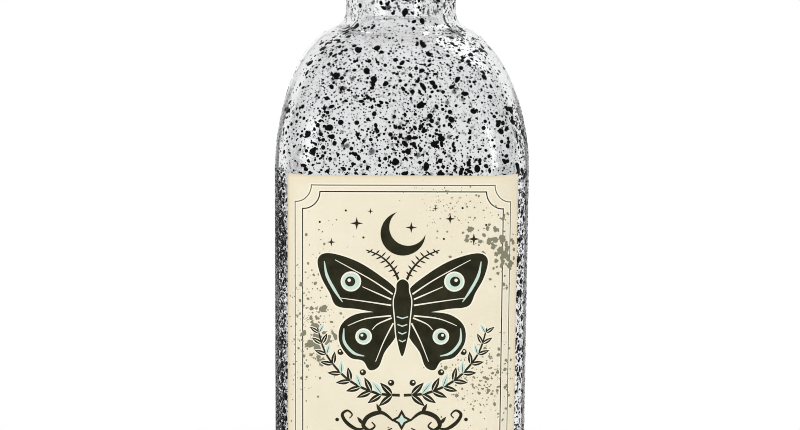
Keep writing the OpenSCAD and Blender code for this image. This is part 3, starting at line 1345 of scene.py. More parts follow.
class Pen:
    """Draws outlines in millimetres, across from the middle and down from the top."""

    LEAF_STEPS = 8
    LEAF_FULLNESS = 0.8

    @staticmethod
    def shape(points: list[Point], ink: Ink) -> Shape:
        """Closes an outline in millimetres, and runs it round the same way as every other."""
        turned = sum(a[0] * b[1] - b[0] * a[1] for a, b in zip(points, points[1:] + points[:1])) < 0
        return Shape(tuple(points[::-1] if turned else points), ink)

    @staticmethod
    def smooth(points: list[Point], closed: bool = True, steps: int = 6) -> list[Point]:
        """Runs a soft curve through given points.

        Args:
            points: The points that it passes.
            closed: Whether it comes back to its start.
            steps: Points for each stretch.

        Returns:
            The finer points.
        """
        count = len(points)
        stretches = count if closed else count - 1
        made = []
        for i in range(stretches):
            near = [points[(i + k) % count] if closed else points[min(max(i + k, 0), count - 1)]
                    for k in (-1, 0, 1, 2)]
            for step in range(steps):
                t = step / steps
                weights = (-t + 2 * t * t - t ** 3, 2 - 5 * t * t + 3 * t ** 3,
                           t + 4 * t * t - 3 * t ** 3, -t * t + t ** 3)
                made.append(tuple(sum(w * p[axis] for w, p in zip(weights, near)) / 2
                                  for axis in (0, 1)))
        return made if closed else made + [points[-1]]

    @staticmethod
    def stroke(path: list[Point], widths: list[float]) -> list[list[Point]]:
        """Outlines a stroke whose width changes on its way.

        Args:
            path: The middle line.
            widths: Widths at even steps from the start to the end.

        Returns:
            One four-sided outline for each stretch, so that a curl may cross itself.
        """
        last, sides = len(path) - 1, []
        for i, (x, y) in enumerate(path):
            ahead, behind = path[min(i + 1, last)], path[max(i - 1, 0)]
            dx, dy = ahead[0] - behind[0], ahead[1] - behind[1]
            length = math.hypot(dx, dy) or 1.0
            where = i / last * (len(widths) - 1)
            step = min(int(where), len(widths) - 2)
            width = widths[step] + (widths[step + 1] - widths[step]) * (where - step)
            nx, ny = -dy / length * width / 2, dx / length * width / 2
            sides.append(((x + nx, y + ny), (x - nx, y - ny)))
        return [[a[0], b[0], b[1], a[1]] for a, b in zip(sides, sides[1:])]

    @staticmethod
    def moved(x: float, y: float, u: float, v: float, turn: float) -> Point:
        """Turns the point u, v by an angle about 0, 0 and moves it by x, y."""
        return (x + u * math.cos(turn) - v * math.sin(turn),
                y + u * math.sin(turn) + v * math.cos(turn))

    @staticmethod
    def disc(x: float, y: float, radius: float, sides: int = 24, squeeze: float = 1.0,
             turn: float = 0.0) -> list[Point]:
        """Outlines a disc or an ellipse.

        Args:
            x: The middle, across.
            y: The middle, down.
            radius: The longer radius.
            sides: Points of the outline.
            squeeze: The shorter radius as a share of the longer one.
            turn: How far it is turned, in radians.

        Returns:
            The outline.
        """
        made = []
        for i in range(sides):
            a = 2 * math.pi * i / sides
            made.append(Pen.moved(x, y, radius * math.cos(a), radius * squeeze * math.sin(a), turn))
        return made

    @staticmethod
    def leaf(x: float, y: float, length: float, width: float, turn: float) -> list[Point]:
        """Outlines a pointed leaf that starts at x, y and grows in the direction turn.

        Args:
            x: Where it starts, across.
            y: Where it starts, down.
            length: From its start to its tip.
            width: Its greatest width.
            turn: The direction, in radians.

        Returns:
            The outline.
        """
        made = []
        for side, order in ((1, range(Pen.LEAF_STEPS + 1)), (-1, range(Pen.LEAF_STEPS - 1, 0, -1))):
            for i in order:
                t = i / Pen.LEAF_STEPS
                bulge = side * width / 2 * math.sin(math.pi * t ** Pen.LEAF_FULLNESS)
                made.append(Pen.moved(x, y, length * t, bulge, turn))
        return made

    @staticmethod
    def star(x: float, y: float, radius: float, points: int = 4, waist: float = 0.28) -> list[Point]:
        """Outlines a star with slim points.

        Args:
            x: The middle, across.
            y: The middle, down.
            radius: How far its points reach.
            points: How many it has.
            waist: Where the notches lie, as a share of the radius.

        Returns:
            The outline.
        """
        made = []
        for i in range(2 * points):
            r = radius if i % 2 == 0 else radius * waist
            a = math.pi * i / points - math.pi / 2
            made.append((x + r * math.cos(a), y + r * math.sin(a)))
        return made

    @staticmethod
    def pairs(strokes: list[Stroke]) -> list[Shape]:
        """Closes each outline, followed by its mirror image across the middle."""
        return [Pen.shape(side, ink) for outline, ink in strokes
                for side in (outline, [(-x, y) for x, y in outline[::-1]])]


@dataclass(frozen=True)
class BlotGroup:
    """A loose group of splashes: its middle, how far it scatters, its count and usual size."""

    across: float
    down: float
    wide: float
    tall: float
    count: int
    size: float


@dataclass
class PrintPlate:
    """What is printed on the label: frame lines, a night moth among sprigs, and splashes."""

    half_width: float = 35.0
    height: float = 108.0
    outer_line: Point = (32.05, 2.9)
    inner_line: Point = (29.55, 4.8)
    outer_width: float = 0.33
    inner_width: float = 0.36
    notch: float = 5.2
    notch_steps: int = 12
    frame_halo: float = 0.34
    wing_halo: float = 0.35
    trunk_halo: float = 0.3
    leaf_halo: float = 0.25
    moth: Point = (0.0, 40.5)
    moth_scale: float = 1.12
    scroll: Point = (73.6, 19.0)
    blots: tuple[BlotGroup, ...] = (
        BlotGroup(-26.5, 38.0, 5.4, 10.0, 190, 0.32), BlotGroup(-24.5, 47.5, 2.4, 4.0, 46, 1.1),
        BlotGroup(12.5, 9.0, 6.0, 3.4, 120, 0.2), BlotGroup(24.0, 17.5, 5.0, 4.4, 60, 0.5),
        BlotGroup(30.6, 24.0, 2.6, 4.6, 60, 0.95), BlotGroup(25.0, 62.0, 5.5, 6.0, 240, 0.36),
        BlotGroup(17.0, 56.0, 5.0, 5.0, 90, 0.26), BlotGroup(-29.5, 57.0, 3.4, 8.0, 90, 0.3),
        BlotGroup(0.0, 92.0, 22.0, 9.0, 90, 0.28))
    blot_spread: float = 0.62
    largest_blot: float = 2.5
    least_radius: float = 0.05
    side_room: float = 0.4
    end_room: float = 0.8
    flattest: float = 0.6
    coarse_from: float = 0.4
    fine_blot: tuple[int, float] = (9, 0.1)
    coarse_blot: tuple[int, float] = (16, 0.24)
    seed: int = 7

    def notched(self, line: Point, grow: float) -> list[Point]:
        """Outlines the frame: a rectangle whose corners are bitten out by quarter circles.

        Args:
            line: How far the sides lie from the middle, and the top from the edge.
            grow: How far the outline lies outside that line.

        Returns:
            The outline.
        """
        side, top, bottom = line[0], line[1], self.height - line[1]
        bite = self.notch - grow
        lead = math.asin(grow / bite)
        made = []
        for x, y, start in ((side, top, math.pi), (side, bottom, -math.pi / 2),
                            (-side, bottom, 0.0), (-side, top, math.pi / 2)):
            for i in range(self.notch_steps + 1):
                a = start + lead - (math.pi / 2 + 2 * lead) * i / self.notch_steps
                made.append((x + bite * math.cos(a), y + bite * math.sin(a)))
        return made

    def frame(self) -> list[Shape]:
        """The thin outer line and the darker inner one.

        Returns:
            The shapes.
        """
        made = []
        for line, width, ink in ((self.outer_line, self.outer_width, Ink.FAINT),
                                 (self.inner_line, self.inner_width, Ink.DARK)):
            for grow, tone in ((width / 2 + self.frame_halo, Ink.PALE), (width / 2, ink),
                               (-width / 2, Ink.PALE), (-width / 2 - self.frame_halo, Ink.BARE)):
                made.append(Pen.shape(self.notched(line, grow), tone))
        return made

    def at_moth(self, points: list[Point]) -> list[Point]:
        """Moves an outline drawn about the moth, up positive, to its place on the paper."""
        return [(self.moth[0] + x * self.moth_scale, self.moth[1] - y * self.moth_scale)
                for x, y in points]

    def insect(self) -> list[Shape]:
        """A night moth with spread wings, eye spots and feathered feelers."""
        strokes = self.wings() + self.markings() + self.feeler()
        return Pen.pairs([(self.at_moth(outline), ink) for outline, ink in strokes]) + self.trunk()

    def wings(self) -> list[Stroke]:
        """The wings of the right half, over their pale halos.

        Returns:
            The strokes, from what lies lowest to what lies on top.
        """
        fore = Pen.smooth([(1.4, 5.2), (6.0, 9.6), (12.5, 13.6), (19.5, 15.6), (22.3, 13.9),
                           (21.4, 9.2), (19.2, 5.0), (17.3, 1.4), (12.0, 0.6), (6.5, -0.4), (1.4, -1.2)])
        hind = Pen.smooth([(1.4, -0.6), (7.0, -0.2), (12.6, -0.9), (16.2, -3.8), (16.6, -8.3),
                           (13.9, -12.4), (10.4, -13.4), (8.6, -15.9), (6.2, -15.0), (4.6, -11.0),
                           (1.6, -6.4)])
        halos = [(self.grown(wing, self.wing_halo), Ink.PALE) for wing in (hind, fore)]
        return halos + [(wing, Ink.DARK) for wing in (hind, fore)]

    @staticmethod
    def markings() -> list[Stroke]:
        """What the wings of the right half bear: edges, veins and eye spots.

        Returns:
            The strokes, from what lies lowest to what lies on top.
        """
        fore_edge = Pen.smooth([(20.6, 13.4), (19.9, 9.6), (17.9, 5.7), (15.8, 2.5)], closed=False)
        hind_edge = Pen.smooth([(15.4, -4.6), (15.3, -8.2), (12.9, -11.2), (10.0, -12.1)], closed=False)
        veins = [[(2.6, 4.6), (8.5, 8.6), (17.8, 13.8)], [(3.0, 3.2), (7.5, 5.2), (10.6, 6.6)],
                 [(3.0, 1.6), (9.5, 2.6), (16.6, 3.6)], [(2.8, -1.8), (6.4, -3.4), (8.0, -5.0)],
                 [(2.4, -3.2), (4.8, -8.0), (7.0, -13.6)], [(3.0, -1.2), (9.6, -2.0), (14.4, -3.9)]]
        strokes = [(part, Ink.SAGE) for edge in (fore_edge, hind_edge)
                   for part in Pen.stroke(edge, [0.2, 0.75, 0.75, 0.2])]
        strokes += [(part, Ink.PALE) for vein in veins
                    for part in Pen.stroke(Pen.smooth(vein, closed=False), [0.42, 0.16])]
        for x, y, radius in ((13.6, 8.0, 2.7), (10.2, -6.8, 2.2)):
            strokes += [(Pen.disc(x, y, radius), Ink.PALE), (Pen.disc(x, y, radius - 0.4), Ink.SAGE),
                        (Pen.disc(x + 0.2, y, radius * 0.5), Ink.DARK),
                        (Pen.disc(x + 0.45, y + 0.35, radius * 0.17, 12), Ink.PALE)]
        return strokes

    @staticmethod
    def feeler() -> list[Stroke]:
        """The right feeler with its fine branches.

        Returns:
            The strokes.
        """
        feeler = Pen.smooth([(0.7, 7.4), (2.4, 11.2), (5.6, 14.6), (9.6, 16.4)], closed=False)
        strokes = [(part, Ink.DARK) for part in Pen.stroke(feeler, [0.7, 0.5, 0.3])]
        for step in range(4, len(feeler) - 1, 2):
            x, y = feeler[step]
            reach = 1.9 * math.sin(math.pi * step / len(feeler))
            for turn in (2.3, -0.4):
                strokes.append((Pen.leaf(x, y, reach, 0.4, turn), Ink.DARK))
        return strokes

    def trunk(self) -> list[Shape]:
        """The trunk over its pale halo, with four bands across it.

        Returns:
            The shapes.
        """
        trunk = Pen.smooth([(0.0, 8.6), (1.5, 7.6), (1.7, 5.4), (2.3, 2.6), (1.9, -2.4), (1.5, -7.0),
                            (0.0, -12.2), (-1.5, -7.0), (-1.9, -2.4), (-2.3, 2.6), (-1.7, 5.4),
                            (-1.5, 7.6)])
        strokes = [(self.grown(trunk, self.trunk_halo), Ink.PALE), (trunk, Ink.DARK)]
        for row in range(4):
            y = -1.6 - 2.1 * row
            half = 1.5 - 0.2 * row
            strokes.append(([(-half, y), (0.0, y - 0.5), (half, y),
                             (half, y + 0.32), (0.0, y - 0.14), (-half, y + 0.32)], Ink.SAGE))
        return [Pen.shape(self.at_moth(outline), ink) for outline, ink in strokes]

    @staticmethod
    def grown(outline: list[Point], by: float) -> list[Point]:
        """Moves each point of an outline away from the shape's inside.

        Args:
            outline: The closed outline.
            by: How far.

        Returns:
            The larger outline.
        """
        count = len(outline)
        area = sum(outline[i][0] * outline[(i + 1) % count][1] - outline[(i + 1) % count][0] * outline[i][1]
                   for i in range(count))
        sign = 1.0 if area > 0 else -1.0
        made = []
        for i, (x, y) in enumerate(outline):
            dx = outline[(i + 1) % count][0] - outline[i - 1][0]
            dy = outline[(i + 1) % count][1] - outline[i - 1][1]
            length = math.hypot(dx, dy) or 1.0
            made.append((x + sign * dy / length * by, y - sign * dx / length * by))
        return made

    def sky(self) -> list[Shape]:
        """A crescent moon with a few stars over the moth.

        Returns:
            The shapes.
        """
        moon_x, moon_y, radius = 0.0, 17.2, 6.6
        made = [Pen.shape(Pen.disc(moon_x, moon_y, radius, 48), Ink.DARK),
                Pen.shape(Pen.disc(moon_x + 1.5, moon_y - 1.9, radius * 0.84, 40), Ink.BARE)]
        for x, y, size in ((2.4, 15.4, 1.7), (-13.6, 14.2, 1.9), (13.8, 12.8, 1.5), (-21.0, 19.8, 1.3),
                           (20.8, 18.8, 1.8), (-9.6, 10.6, 0.9), (9.4, 9.8, 0.8)):
            made.append(Pen.shape(Pen.star(x, y, size), Ink.DARK))
        for x, y in ((-16.8, 10.4), (17.4, 9.6), (-24.4, 13.8), (24.4, 14.6), (-11.6, 18.4), (12.0, 18.8)):
            made.append(Pen.shape(Pen.disc(x, y, 0.34, 8), Ink.DARK))
        return made

    def sprigs(self) -> list[Shape]:
        """Two leafy stems that curve up from below the moth.

        Returns:
            The shapes, from what lies lowest to what lies on top.
        """
        stem = Pen.smooth([(0.6, 66.0), (8.0, 65.2), (16.2, 61.0), (22.4, 53.6), (25.0, 45.6)],
                          closed=False, steps=8)
        halos, strokes = [], [(part, Ink.DARK) for part in Pen.stroke(stem, [0.9, 0.7, 0.4])]
        for step in range(3, len(stem) - 1, 3):
            (x, y), (ax, ay) = stem[step], stem[step + 1]
            heading = math.atan2(ay - y, ax - x)
            size = 5.6 * (1 - 0.45 * step / len(stem))
            for turn in (0.75, -0.75):
                leaf = Pen.leaf(x, y, size, size * 0.36, heading + turn)
                halos.append((self.grown(leaf, self.leaf_halo), Ink.PALE))
                strokes.append((leaf, Ink.DARK if (step // 3) % 2 or turn > 0 else Ink.SAGE))
                rib = Pen.leaf(x, y, size * 0.8, 0.22, heading + turn)
                strokes.append((rib, Ink.PALE if (step // 3) % 2 or turn > 0 else Ink.DARK))
        strokes = halos + strokes
        for x, y in ((3.2, 62.2), (11.6, 59.0), (18.2, 52.8)):
            strokes += [(Pen.disc(x, y, 0.95, 14), Ink.DARK),
                        (Pen.disc(x + 0.2, y - 0.25, 0.3, 8), Ink.PALE)]
        return Pen.pairs(strokes)

    def flourish(self, y: float, half: float) -> list[Shape]:
        """A band of scrolls about a diamond.

        Args:
            y: How far down it lies, in millimetres.
            half: How far it reaches to each side.

        Returns:
            Its shapes.
        """
        unit = half / 20
        scrolls = (
            ([(2.6, 0.3), (6.2, -2.4), (10.4, -1.2), (12.0, 1.6), (10.2, 3.2), (8.4, 2.0), (9.4, 0.6)],
             [0.5, 1.5, 1.3, 0.7, 0.35]),
            ([(10.8, 2.4), (14.0, 2.9), (17.2, 0.8), (18.6, -1.8), (17.0, -3.1), (15.5, -1.8), (16.4, -0.6)],
             [0.4, 1.2, 1.0, 0.55, 0.3]),
            ([(3.0, 2.6), (5.4, 3.8), (7.2, 3.4)], [0.3, 0.7, 0.25]))
        strokes = []
        for path, widths in scrolls:
            line = Pen.smooth([(x * unit, y + v * unit) for x, v in path], closed=False, steps=7)
            strokes += [(part, Ink.DARK) for part in Pen.stroke(line, [w * unit for w in widths])]
        strokes += [(Pen.leaf(6.4 * unit, y - 2.3 * unit, 3.4 * unit, 1.2 * unit, -1.1), Ink.DARK),
                    (Pen.leaf(12.0 * unit, y + 1.4 * unit, 3.2 * unit, 1.1 * unit, -0.9), Ink.DARK),
                    (Pen.disc(20.2 * unit, y - 0.2 * unit, 0.6 * unit, 12), Ink.DARK)]
        made = Pen.pairs(strokes)
        made.append(Pen.shape(Pen.star(0.0, y, 3.4 * unit, 4, 0.5), Ink.DARK))
        made.append(Pen.shape(Pen.star(0.0, y, 1.9 * unit, 4, 0.5), Ink.SAGE))
        return made

    def mortar(self) -> list[Shape]:
        """A mortar and its pestle on the lower part of the label.

        Returns:
            The shapes.
        """
        bowl = Pen.smooth([(-7.4, 86.4), (7.4, 86.4), (6.6, 91.2), (3.4, 95.0), (-3.4, 95.0), (-6.6, 91.2)])
        pestle = Pen.stroke([(2.4, 87.4), (6.4, 82.6), (9.6, 78.9)], [1.3, 1.7, 2.6])
        foot = [(-2.0, 94.6), (2.0, 94.6), (4.6, 97.8), (-4.6, 97.8)]
        rim = [(-8.3, 85.3), (8.3, 85.3), (8.3, 87.0), (-8.3, 87.0)]
        made = [Pen.shape(outline, Ink.DARK) for outline in (*pestle, bowl, foot, rim)]
        shine = Pen.smooth([(-5.4, 88.6), (-4.6, 91.2), (-2.8, 93.0)], closed=False)
        made += [Pen.shape(part, Ink.SAGE) for part in Pen.stroke(shine, [0.3, 0.8, 0.2])]
        return made + Pen.pairs([(Pen.leaf(x, 92.4, 5.6, 2.0, turn), Ink.DARK)
                                 for x, turn in ((11.0, -0.5), (11.6, 0.35), (15.4, -0.1))])

    def splashes(self) -> list[Shape]:
        """Printed splashes: loose groups of blots, and a few large ones at the right edge.

        Returns:
            The shapes.
        """
        rng = random.Random(self.seed)
        made = []
        for group in self.blots:
            for _ in range(group.count):
                across, down = rng.gauss(group.across, group.wide), rng.gauss(group.down, group.tall)
                size = group.size * rng.lognormvariate(0.0, self.blot_spread)
                radius = min(self.largest_blot, size) / 2 + self.least_radius
                inside = self.end_room < down < self.height - self.end_room
                if abs(across) + radius > self.half_width - self.side_room or not inside:
                    continue
                sides, rough = self.fine_blot if radius < self.coarse_from else self.coarse_blot
                squeeze, turn = rng.uniform(self.flattest, 1.0), rng.uniform(0.0, math.pi)
                blot = Pen.disc(across, down, radius, sides, squeeze, turn)
                blot = [(across + (px - across) * k, down + (py - down) * k)
                        for (px, py), k in ((p, 1 + rng.uniform(-rough, rough)) for p in blot)]
                made.append(Pen.shape(blot, Ink.SPLASH))
        return made

    def shapes(self) -> list[Shape]:
        """Everything on the plate, from what is printed first to what lies on top."""
        return (self.frame() + self.splashes() + self.sky() + self.sprigs() + self.insect()
                + self.flourish(*self.scroll) + self.mortar())


@dataclass
class PaperLabel:
    """The paper round the bottle's front, and the ink on it."""

    EDGE = "edge_distance"
    INK = "ink_number"
    INSIDE_ONLY = 1

    form: BottleForm
    paper: PaperFinish
    ink: InkFinish
    plate: PrintPlate
    reach: float = 11.5 * MM
    height: float = 108 * MM
    drop: float = 0.5 * MM
    back_lift: float = 0.0
    front_lift: float = 0.15 * MM
    ink_rise: float = 0.022 * MM
    cockle: float = 0.022 * MM
    wave_across: float = 60.0
    wave_down: float = 38.0
    cell: float = 1.0 * MM
    bend_step: float = 1.15 * MM
    nearness: float = 1e-6
    layout_shift: float = 0.15

    @property
    def flat(self) -> float:
        """Half width of the flat part."""
        return self.form.body_half - self.form.corner

    @property
    def half(self) -> float:
        """Half of the paper's width, measured along the glass."""
        return self.flat + self.reach

    @property
    def top(self) -> float:
        """Height of the top edge."""
        return self.form.body_height - self.drop

    def wave(self, across: float, down: float) -> float:
        """How far the dried paper's face lies above its mean height, or below it where negative."""
        drift = noise.noise(Vector((across * self.wave_across, down * self.wave_down, 3.0)))
        return self.cockle * (drift - 0.5) * 0.5

    def place(self, across: float, down: float, lift: float) -> Vector:
        """Lays a point of the flat paper on the bottle.

        Args:
            across: Distance from the middle line, along the glass.
            down: Distance from the top edge.
            lift: Height over the glass.

        Returns:
            The point in the model's frame.
        """
        straight = min(abs(across), self.flat)
        turn = (abs(across) - straight) / self.form.corner
        radius = self.form.corner + lift
        x = straight + radius * math.sin(turn)
        y = -(self.form.body_half - self.form.corner + radius * math.cos(turn))
        return Vector((math.copysign(x, across), y, self.top - down))

    def build_paper(self) -> bpy.types.Object:
        """Builds the paper.

        Returns:
            A closed sheet bent round both front corners, whose vertices know their edge distance.
        """
        columns = round(2 * self.half / self.cell)
        rows = round(self.height / (1.5 * self.cell))
        points, edge = [], []
        for side in (0, 1):
            for j in range(rows + 1):
                for i in range(columns + 1):
                    across = self.half * (2 * i / columns - 1)
                    down = self.height * j / rows
                    lift = self.front_lift + self.wave(across, down) if side else self.back_lift
                    points.append(self.place(across, down, lift))
                    edge.append(min(self.half - abs(across), down, self.height - down))
        wide, layer = columns + 1, (columns + 1) * (rows + 1)
        faces = []
        for j in range(rows):
            for i in range(columns):
                a, b, c, d = j * wide + i, j * wide + i + 1, (j + 1) * wide + i + 1, (j + 1) * wide + i
                faces += [(a, b, c, d), (layer + d, layer + c, layer + b, layer + a)]
        rim = list(range(columns))
        rim += [j * wide + columns for j in range(rows)]
        rim += [rows * wide + i for i in range(columns, 0, -1)]
        rim += [j * wide for j in range(rows, 0, -1)]
        for a, b in zip(rim, rim[1:] + rim[:1]):
            faces.append((b, a, layer + a, layer + b))
        sheet = mesh_object("label_paper", points, faces, self.paper.build())
        carry(sheet.data, self.EDGE, edge)
        return sheet

    def plan(self) -> tuple[list[Point], list[tuple[int, ...]], list[Ink]]:
        """Cuts the plate's overlapping shapes into triangles that each hold one ink.

        Returns:
            The points, the triangles, and each triangle's ink.
        """
        shapes = self.plate.shapes()
        points, outlines = [], []
        for shape in shapes:
            start = len(points)
            points += [Vector(p) for p in shape.outline]
            outlines.append(list(range(start, len(points))))
        edges = []
        bends = int(self.reach / self.bend_step)
        for side in (-1, 1):
            for step in range(bends + 1):
                across = side * (self.flat + self.bend_step * step) / MM
                start = len(points)
                points += [Vector((across, 0.0)), Vector((across, self.height / MM))]
                edges.append((start, start + 1))
        flat_points, _, triangles, _, _, sources = delaunay_2d_cdt(
            points, edges, outlines, self.INSIDE_ONLY, self.nearness)
        kept, inks = [], []
        for triangle, source in zip(triangles, sources):
            ink = shapes[max(source)].ink if source else Ink.BARE
            if ink is not Ink.BARE:
                kept.append(tuple(triangle))
                inks.append(ink)
        return [(p.x * MM, p.y * MM) for p in flat_points], kept, inks

    def build_print(self) -> bpy.types.Object:
        """Builds the ink: a thin closed film on the paper, with a flat layout of its own.

        Returns:
            The print, whose faces know their ink.
        """
        flat_points, triangles, inks = self.plan()
        used = sorted({i for triangle in triangles for i in triangle})
        index = {old: new for new, old in enumerate(used)}
        count = len(used)
        low, high = self.front_lift - self.ink_rise / 2, self.front_lift + self.ink_rise
        points = []
        for lift in (high, low):
            for i in used:
                across, down = flat_points[i]
                points.append(self.place(across, down, lift + self.wave(across, down)))
        faces, numbers, border = [], [], {}
        for triangle, ink in zip(triangles, inks):
            a, b, c = (index[i] for i in triangle)
            faces += [(a, c, b), (count + a, count + b, count + c)]
            numbers += [float(ink.value)] * 2
            for pair in ((a, b), (b, c), (c, a)):
                if pair[::-1] in border:
                    del border[pair[::-1]]
                else:
                    border[pair] = float(ink.value)
        for (a, b), number in border.items():
            faces.append((a, b, count + b, count + a))
            numbers.append(number)
        film = mesh_object("label_print", points, faces, self.ink.build(), smooth=False)
        carry(film.data, self.INK, numbers, "FACE")
        layout = film.data.uv_layers.new(name="OFBake")
        flat = [flat_points[i] for i in used] * 2
        for loop in film.data.loops:
            across, down = flat[loop.vertex_index]
            layout.data[loop.index].uv = ((across + self.half) / self.height + self.layout_shift,
                                          1.0 - down / self.height)
        return film


# ---- The cork ----


@dataclass
class CorkStopper:
    """A tapered natural cork with pits, pushed into the bore."""

    PIT = "cork_pit"

    finish: CorkFinish
    taper: float = 7 * MM
    chamfer: float = 1 * MM
    sides: int = 120
    levels: int = 84
    cap_rings: int = 22
    pit_depth: float = 0.75 * MM
    pit_scale: float = 210.0
    pit_noise: Point = (0.63, 0.72)
    pit_squash: float = 1.9
    grain_depth: float = 0.06 * MM
    grain_scale: float = 1400.0

    def recipe(self) -> Recipe:
        """Writes the tree that turns the cork on its taper and eats the pits into it.

        Returns:
            The recipe.
        """
        recipe = Recipe("cork_form", {
            "Foot": "Float", "Head": "Float", "Length": "Float", "Seat": "Float", "Chamfer": "Float",
            "Pit Depth": "Float", "Pit Scale": "Float", "Grain": "Float", "Finish": "Material"})
        sheet, length = recipe.sheet, recipe.read("Length")
        cone = sheet.add("GeometryNodeMeshCone", {
            "Vertices": self.sides, "Side Segments": self.levels, "Fill Segments": self.cap_rings,
            "Radius Top": recipe.read("Head"), "Radius Bottom": recipe.read("Foot"),
            "Depth": length}, fill_type="TRIANGLE_FAN")
        place = sheet.add("GeometryNodeInputPosition")
        parts = sheet.add("ShaderNodeSeparateXYZ", {0: place})
        end = sheet.math("MINIMUM", parts.outputs[2], sheet.math("SUBTRACT", length, parts.outputs[2]))
        cut = sheet.math("MAXIMUM", sheet.math("SUBTRACT", recipe.read("Chamfer"), end), 0.0)
        girth = sheet.math("ADD", recipe.read("Foot"), sheet.math(
            "MULTIPLY", sheet.math("SUBTRACT", recipe.read("Head"), recipe.read("Foot")),
            sheet.math("DIVIDE", parts.outputs[2], length)))
        flat = sheet.vector("MULTIPLY", place, (1.0, 1.0, 0.0))
        spread = sheet.length(flat)
        wanted = sheet.math("MINIMUM", spread, sheet.math("SUBTRACT", girth, cut))
        share = sheet.math("DIVIDE", wanted, sheet.math("MAXIMUM", spread, 1e-6))
        shaped = sheet.add("GeometryNodeSetPosition", {
            "Geometry": sheet.out(cone, "Mesh"), "Position": sheet.vector(
                "ADD", sheet.vector("SCALE", flat, scale=share),
                sheet.add("ShaderNodeCombineXYZ", {"Z": parts.outputs[2]}))})
        drawn = sheet.vector("MULTIPLY", place, (1.0, 1.0, self.pit_squash))
        hollow = sheet.add("ShaderNodeTexNoise", {"Vector": drawn, "Scale": recipe.read("Pit Scale"),
                                                  "Detail": 3.0, "Roughness": 0.6})
        pit = sheet.ramp(hollow, *self.pit_noise)
        grain = sheet.add("ShaderNodeTexNoise", {"Vector": place, "Scale": self.grain_scale,
                                                 "Detail": 2.0})
        marked = sheet.keep(shaped, self.PIT, pit)
        depth = sheet.math("ADD", sheet.math("MULTIPLY", pit, recipe.read("Pit Depth")),
                           sheet.math("MULTIPLY", grain, recipe.read("Grain")))
        inward = sheet.vector("SCALE", sheet.add("GeometryNodeInputNormal"),
                              scale=sheet.math("MULTIPLY", depth, -1.0))
        eaten = sheet.add("GeometryNodeSetPosition", {"Geometry": marked, "Offset": inward})
        level = sheet.math("MINIMUM", sheet.math("MAXIMUM", parts.outputs[2], 0.0), length)
        lifted = sheet.add("GeometryNodeSetPosition", {"Geometry": eaten, "Position": sheet.add(
            "ShaderNodeCombineXYZ", {"X": parts.outputs[0], "Y": parts.outputs[1],
                                     "Z": sheet.math("ADD", level, recipe.read("Seat"))})})
        recipe.close(lifted)
        return recipe

    def build(self) -> bpy.types.Object:
        """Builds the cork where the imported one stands.

        Returns:
            The piece.
        """
        low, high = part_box("cork_stopper")
        slope = self.taper / 2 / (high.z - low.z)
        head = high.x + slope * self.chamfer
        material = self.finish.build()
        cork = mesh_object("natural_cork", [], [], material)
        self.recipe().apply(cork, {
            "Foot": head - self.taper / 2, "Head": head, "Length": high.z - low.z, "Seat": low.z,
            "Chamfer": self.chamfer, "Pit Depth": self.pit_depth, "Pit Scale": self.pit_scale,
            "Grain": self.grain_depth, "Finish": material})
        return cork


# ---- Floor, light and camera ----


@dataclass(frozen=True)
class Softbox:
    """A flat lamp that shines towards the bottle."""

    name: str
    azimuth: float
    elevation: float
    distance: float
    width: float
    height: float
    radiance: float

    def build(self, target: Vector) -> None:
        """Hangs the lamp.

        Args:
            target: The point that it faces. Azimuth 0 is the camera's side, and 90 lies to the right.
        """
        a, e = math.radians(self.azimuth), math.radians(self.elevation)
        out = Vector((math.sin(a) * math.cos(e), -math.cos(a) * math.cos(e), math.sin(e)))
        data = bpy.data.lights.new(self.name, "AREA")
        data.shape, data.size, data.size_y = "RECTANGLE", self.width, self.height
        data.energy = self.radiance * math.pi * self.width * self.height
        lamp = bpy.data.objects.new(self.name, data)
        lamp.location = target + out * self.distance
        lamp.rotation_mode = "QUATERNION"
        lamp.rotation_quaternion = (-out).to_track_quat("-Z", "Y")
        bpy.context.scene.collection.objects.link(lamp)


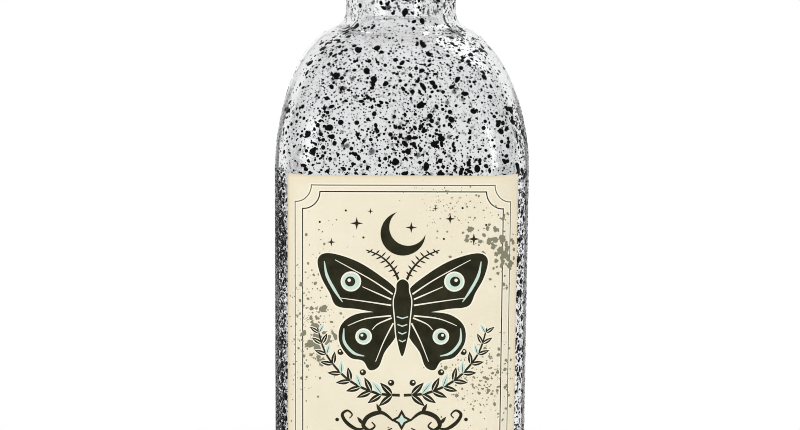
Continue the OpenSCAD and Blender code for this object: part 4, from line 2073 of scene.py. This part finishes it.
@dataclass
class Studio:
    """A white sweep, soft studio light, and the camera at the photograph's place."""

    floor: FloorFinish
    floor_rings: tuple[float, ...] = (0.12, 0.4, 1.5, 9.0)
    floor_sides: int = 96
    sky_level: float = 0.74
    image_width: float = 800.0
    sensor: float = 36.0
    focal_pixels: float = 2018.9
    stand_off: float = 0.6213
    eye_height: float = 0.2138
    pitch: float = 9.396
    roll: float = 0.42
    swing: float = -1.7
    aside: float = 0.0002
    clip: Point = (0.05, 30.0)
    glass_bounces: int = 32
    pixel_blur: float = 1.0
    softboxes: tuple[Softbox, ...] = (
        Softbox("left_panel", -46, 14, 1.6, 0.7, 0.9, 2.5),
        Softbox("right_panel", 33, 8, 1.6, 0.4, 0.8, 3.5),
        Softbox("high_softbox", 134, 53, 1.6, 0.9, 0.7, 2.8),
    )

    def build_floor(self) -> None:
        """Lays the floor."""
        rings, sides = self.floor_rings, self.floor_sides
        points = [(0.0, 0.0, 0.0)]
        for r in rings:
            points += [(r * math.cos(2 * math.pi * i / sides), r * math.sin(2 * math.pi * i / sides), 0.0)
                       for i in range(sides)]
        faces = [(0, 1 + i, 1 + (i + 1) % sides) for i in range(sides)]
        for level in range(len(rings) - 1):
            low, high = 1 + level * sides, 1 + (level + 1) * sides
            faces += [(low + i, high + i, high + (i + 1) % sides, low + (i + 1) % sides)
                      for i in range(sides)]
        mesh_object("pale_floor", points, faces, self.floor.build(), smooth=False)

    def build_world(self) -> None:
        """Surrounds the object with white that the camera and the glass see, and dimmer light."""
        world = bpy.data.worlds.new("white_sweep")
        bpy.context.scene.world = world
        world.use_nodes = True
        sheet = NodeSheet(world.node_tree)
        sheet.tree.nodes.clear()
        strength = sheet.ramp(sheet.seen(), 0.0, 1.0, self.sky_level, 1.0)
        light = sheet.add("ShaderNodeBackground", {"Color": WHITE, "Strength": strength})
        sheet.add("ShaderNodeOutputWorld", {"Surface": light})

    def build_camera(self) -> None:
        """Sets up the camera."""
        data = bpy.data.cameras.new("front_camera")
        data.sensor_width = self.sensor
        data.lens = self.focal_pixels * self.sensor / self.image_width
        data.clip_start, data.clip_end = self.clip
        camera = bpy.data.objects.new("front_camera", data)
        tilt = Matrix.Rotation(math.radians(90 - self.pitch), 4, "X")
        lean = Matrix.Rotation(math.radians(self.roll), 4, "Z")
        swing = Matrix.Rotation(math.radians(self.swing), 4, "Z")
        place = Matrix.Translation((self.aside, -self.stand_off, self.eye_height))
        camera.matrix_world = swing @ place @ tilt @ lean
        bpy.context.scene.collection.objects.link(camera)
        bpy.context.scene.camera = camera

    def build(self, target: Vector) -> None:
        """Builds the floor, the light and the camera.

        Args:
            target: The point that the lamps face.
        """
        self.build_floor()
        self.build_world()
        self.build_camera()
        for box in self.softboxes:
            box.build(target)
        scene = bpy.context.scene
        scene.view_settings.view_transform = "Standard"
        scene.cycles.max_bounces = self.glass_bounces
        scene.cycles.transmission_bounces = self.glass_bounces
        scene.cycles.glossy_bounces = self.glass_bounces
        scene.cycles.filter_width = self.pixel_blur


# ---- Putting it together ----


def hand_over(piece: bpy.types.Object, body: Body, slot: Slot, *nodes: str) -> None:
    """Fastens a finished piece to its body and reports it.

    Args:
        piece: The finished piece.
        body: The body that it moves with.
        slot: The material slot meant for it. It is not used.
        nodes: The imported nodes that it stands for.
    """
    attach(piece, body.value)
    if nodes:
        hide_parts(*nodes)
    LOG.info("%s: %d faces, on %s", piece.name, len(piece.data.polygons), body.value)


def main() -> None:
    """Builds every piece in order, then the studio."""
    logging.basicConfig(level=logging.INFO, format="%(name)s: %(message)s")
    form = BottleForm()
    bottle = GlassBottle(form, GlassFinish())
    hand_over(bottle.build(), Body.BOTTLE, Slot.GLASS, "bottle")
    skin = bottle.skin()
    for piece in LacquerSpatter(form, LacquerFinish()).build(skin):
        hand_over(piece, Body.BOTTLE, Slot.LACQUER)
    bpy.data.objects.remove(skin)
    label = PaperLabel(form, PaperFinish(), InkFinish(), PrintPlate())
    hand_over(label.build_paper(), Body.BOTTLE, Slot.PAPER, "front_label")
    hand_over(label.build_print(), Body.BOTTLE, Slot.INK)
    hand_over(CorkStopper(CorkFinish()).build(), Body.STOPPER, Slot.CORK, "cork_stopper")
    Studio(FloorFinish()).build(Vector((0.0, 0.0, form.body_height)))


if __name__ == "__main__":
    main()
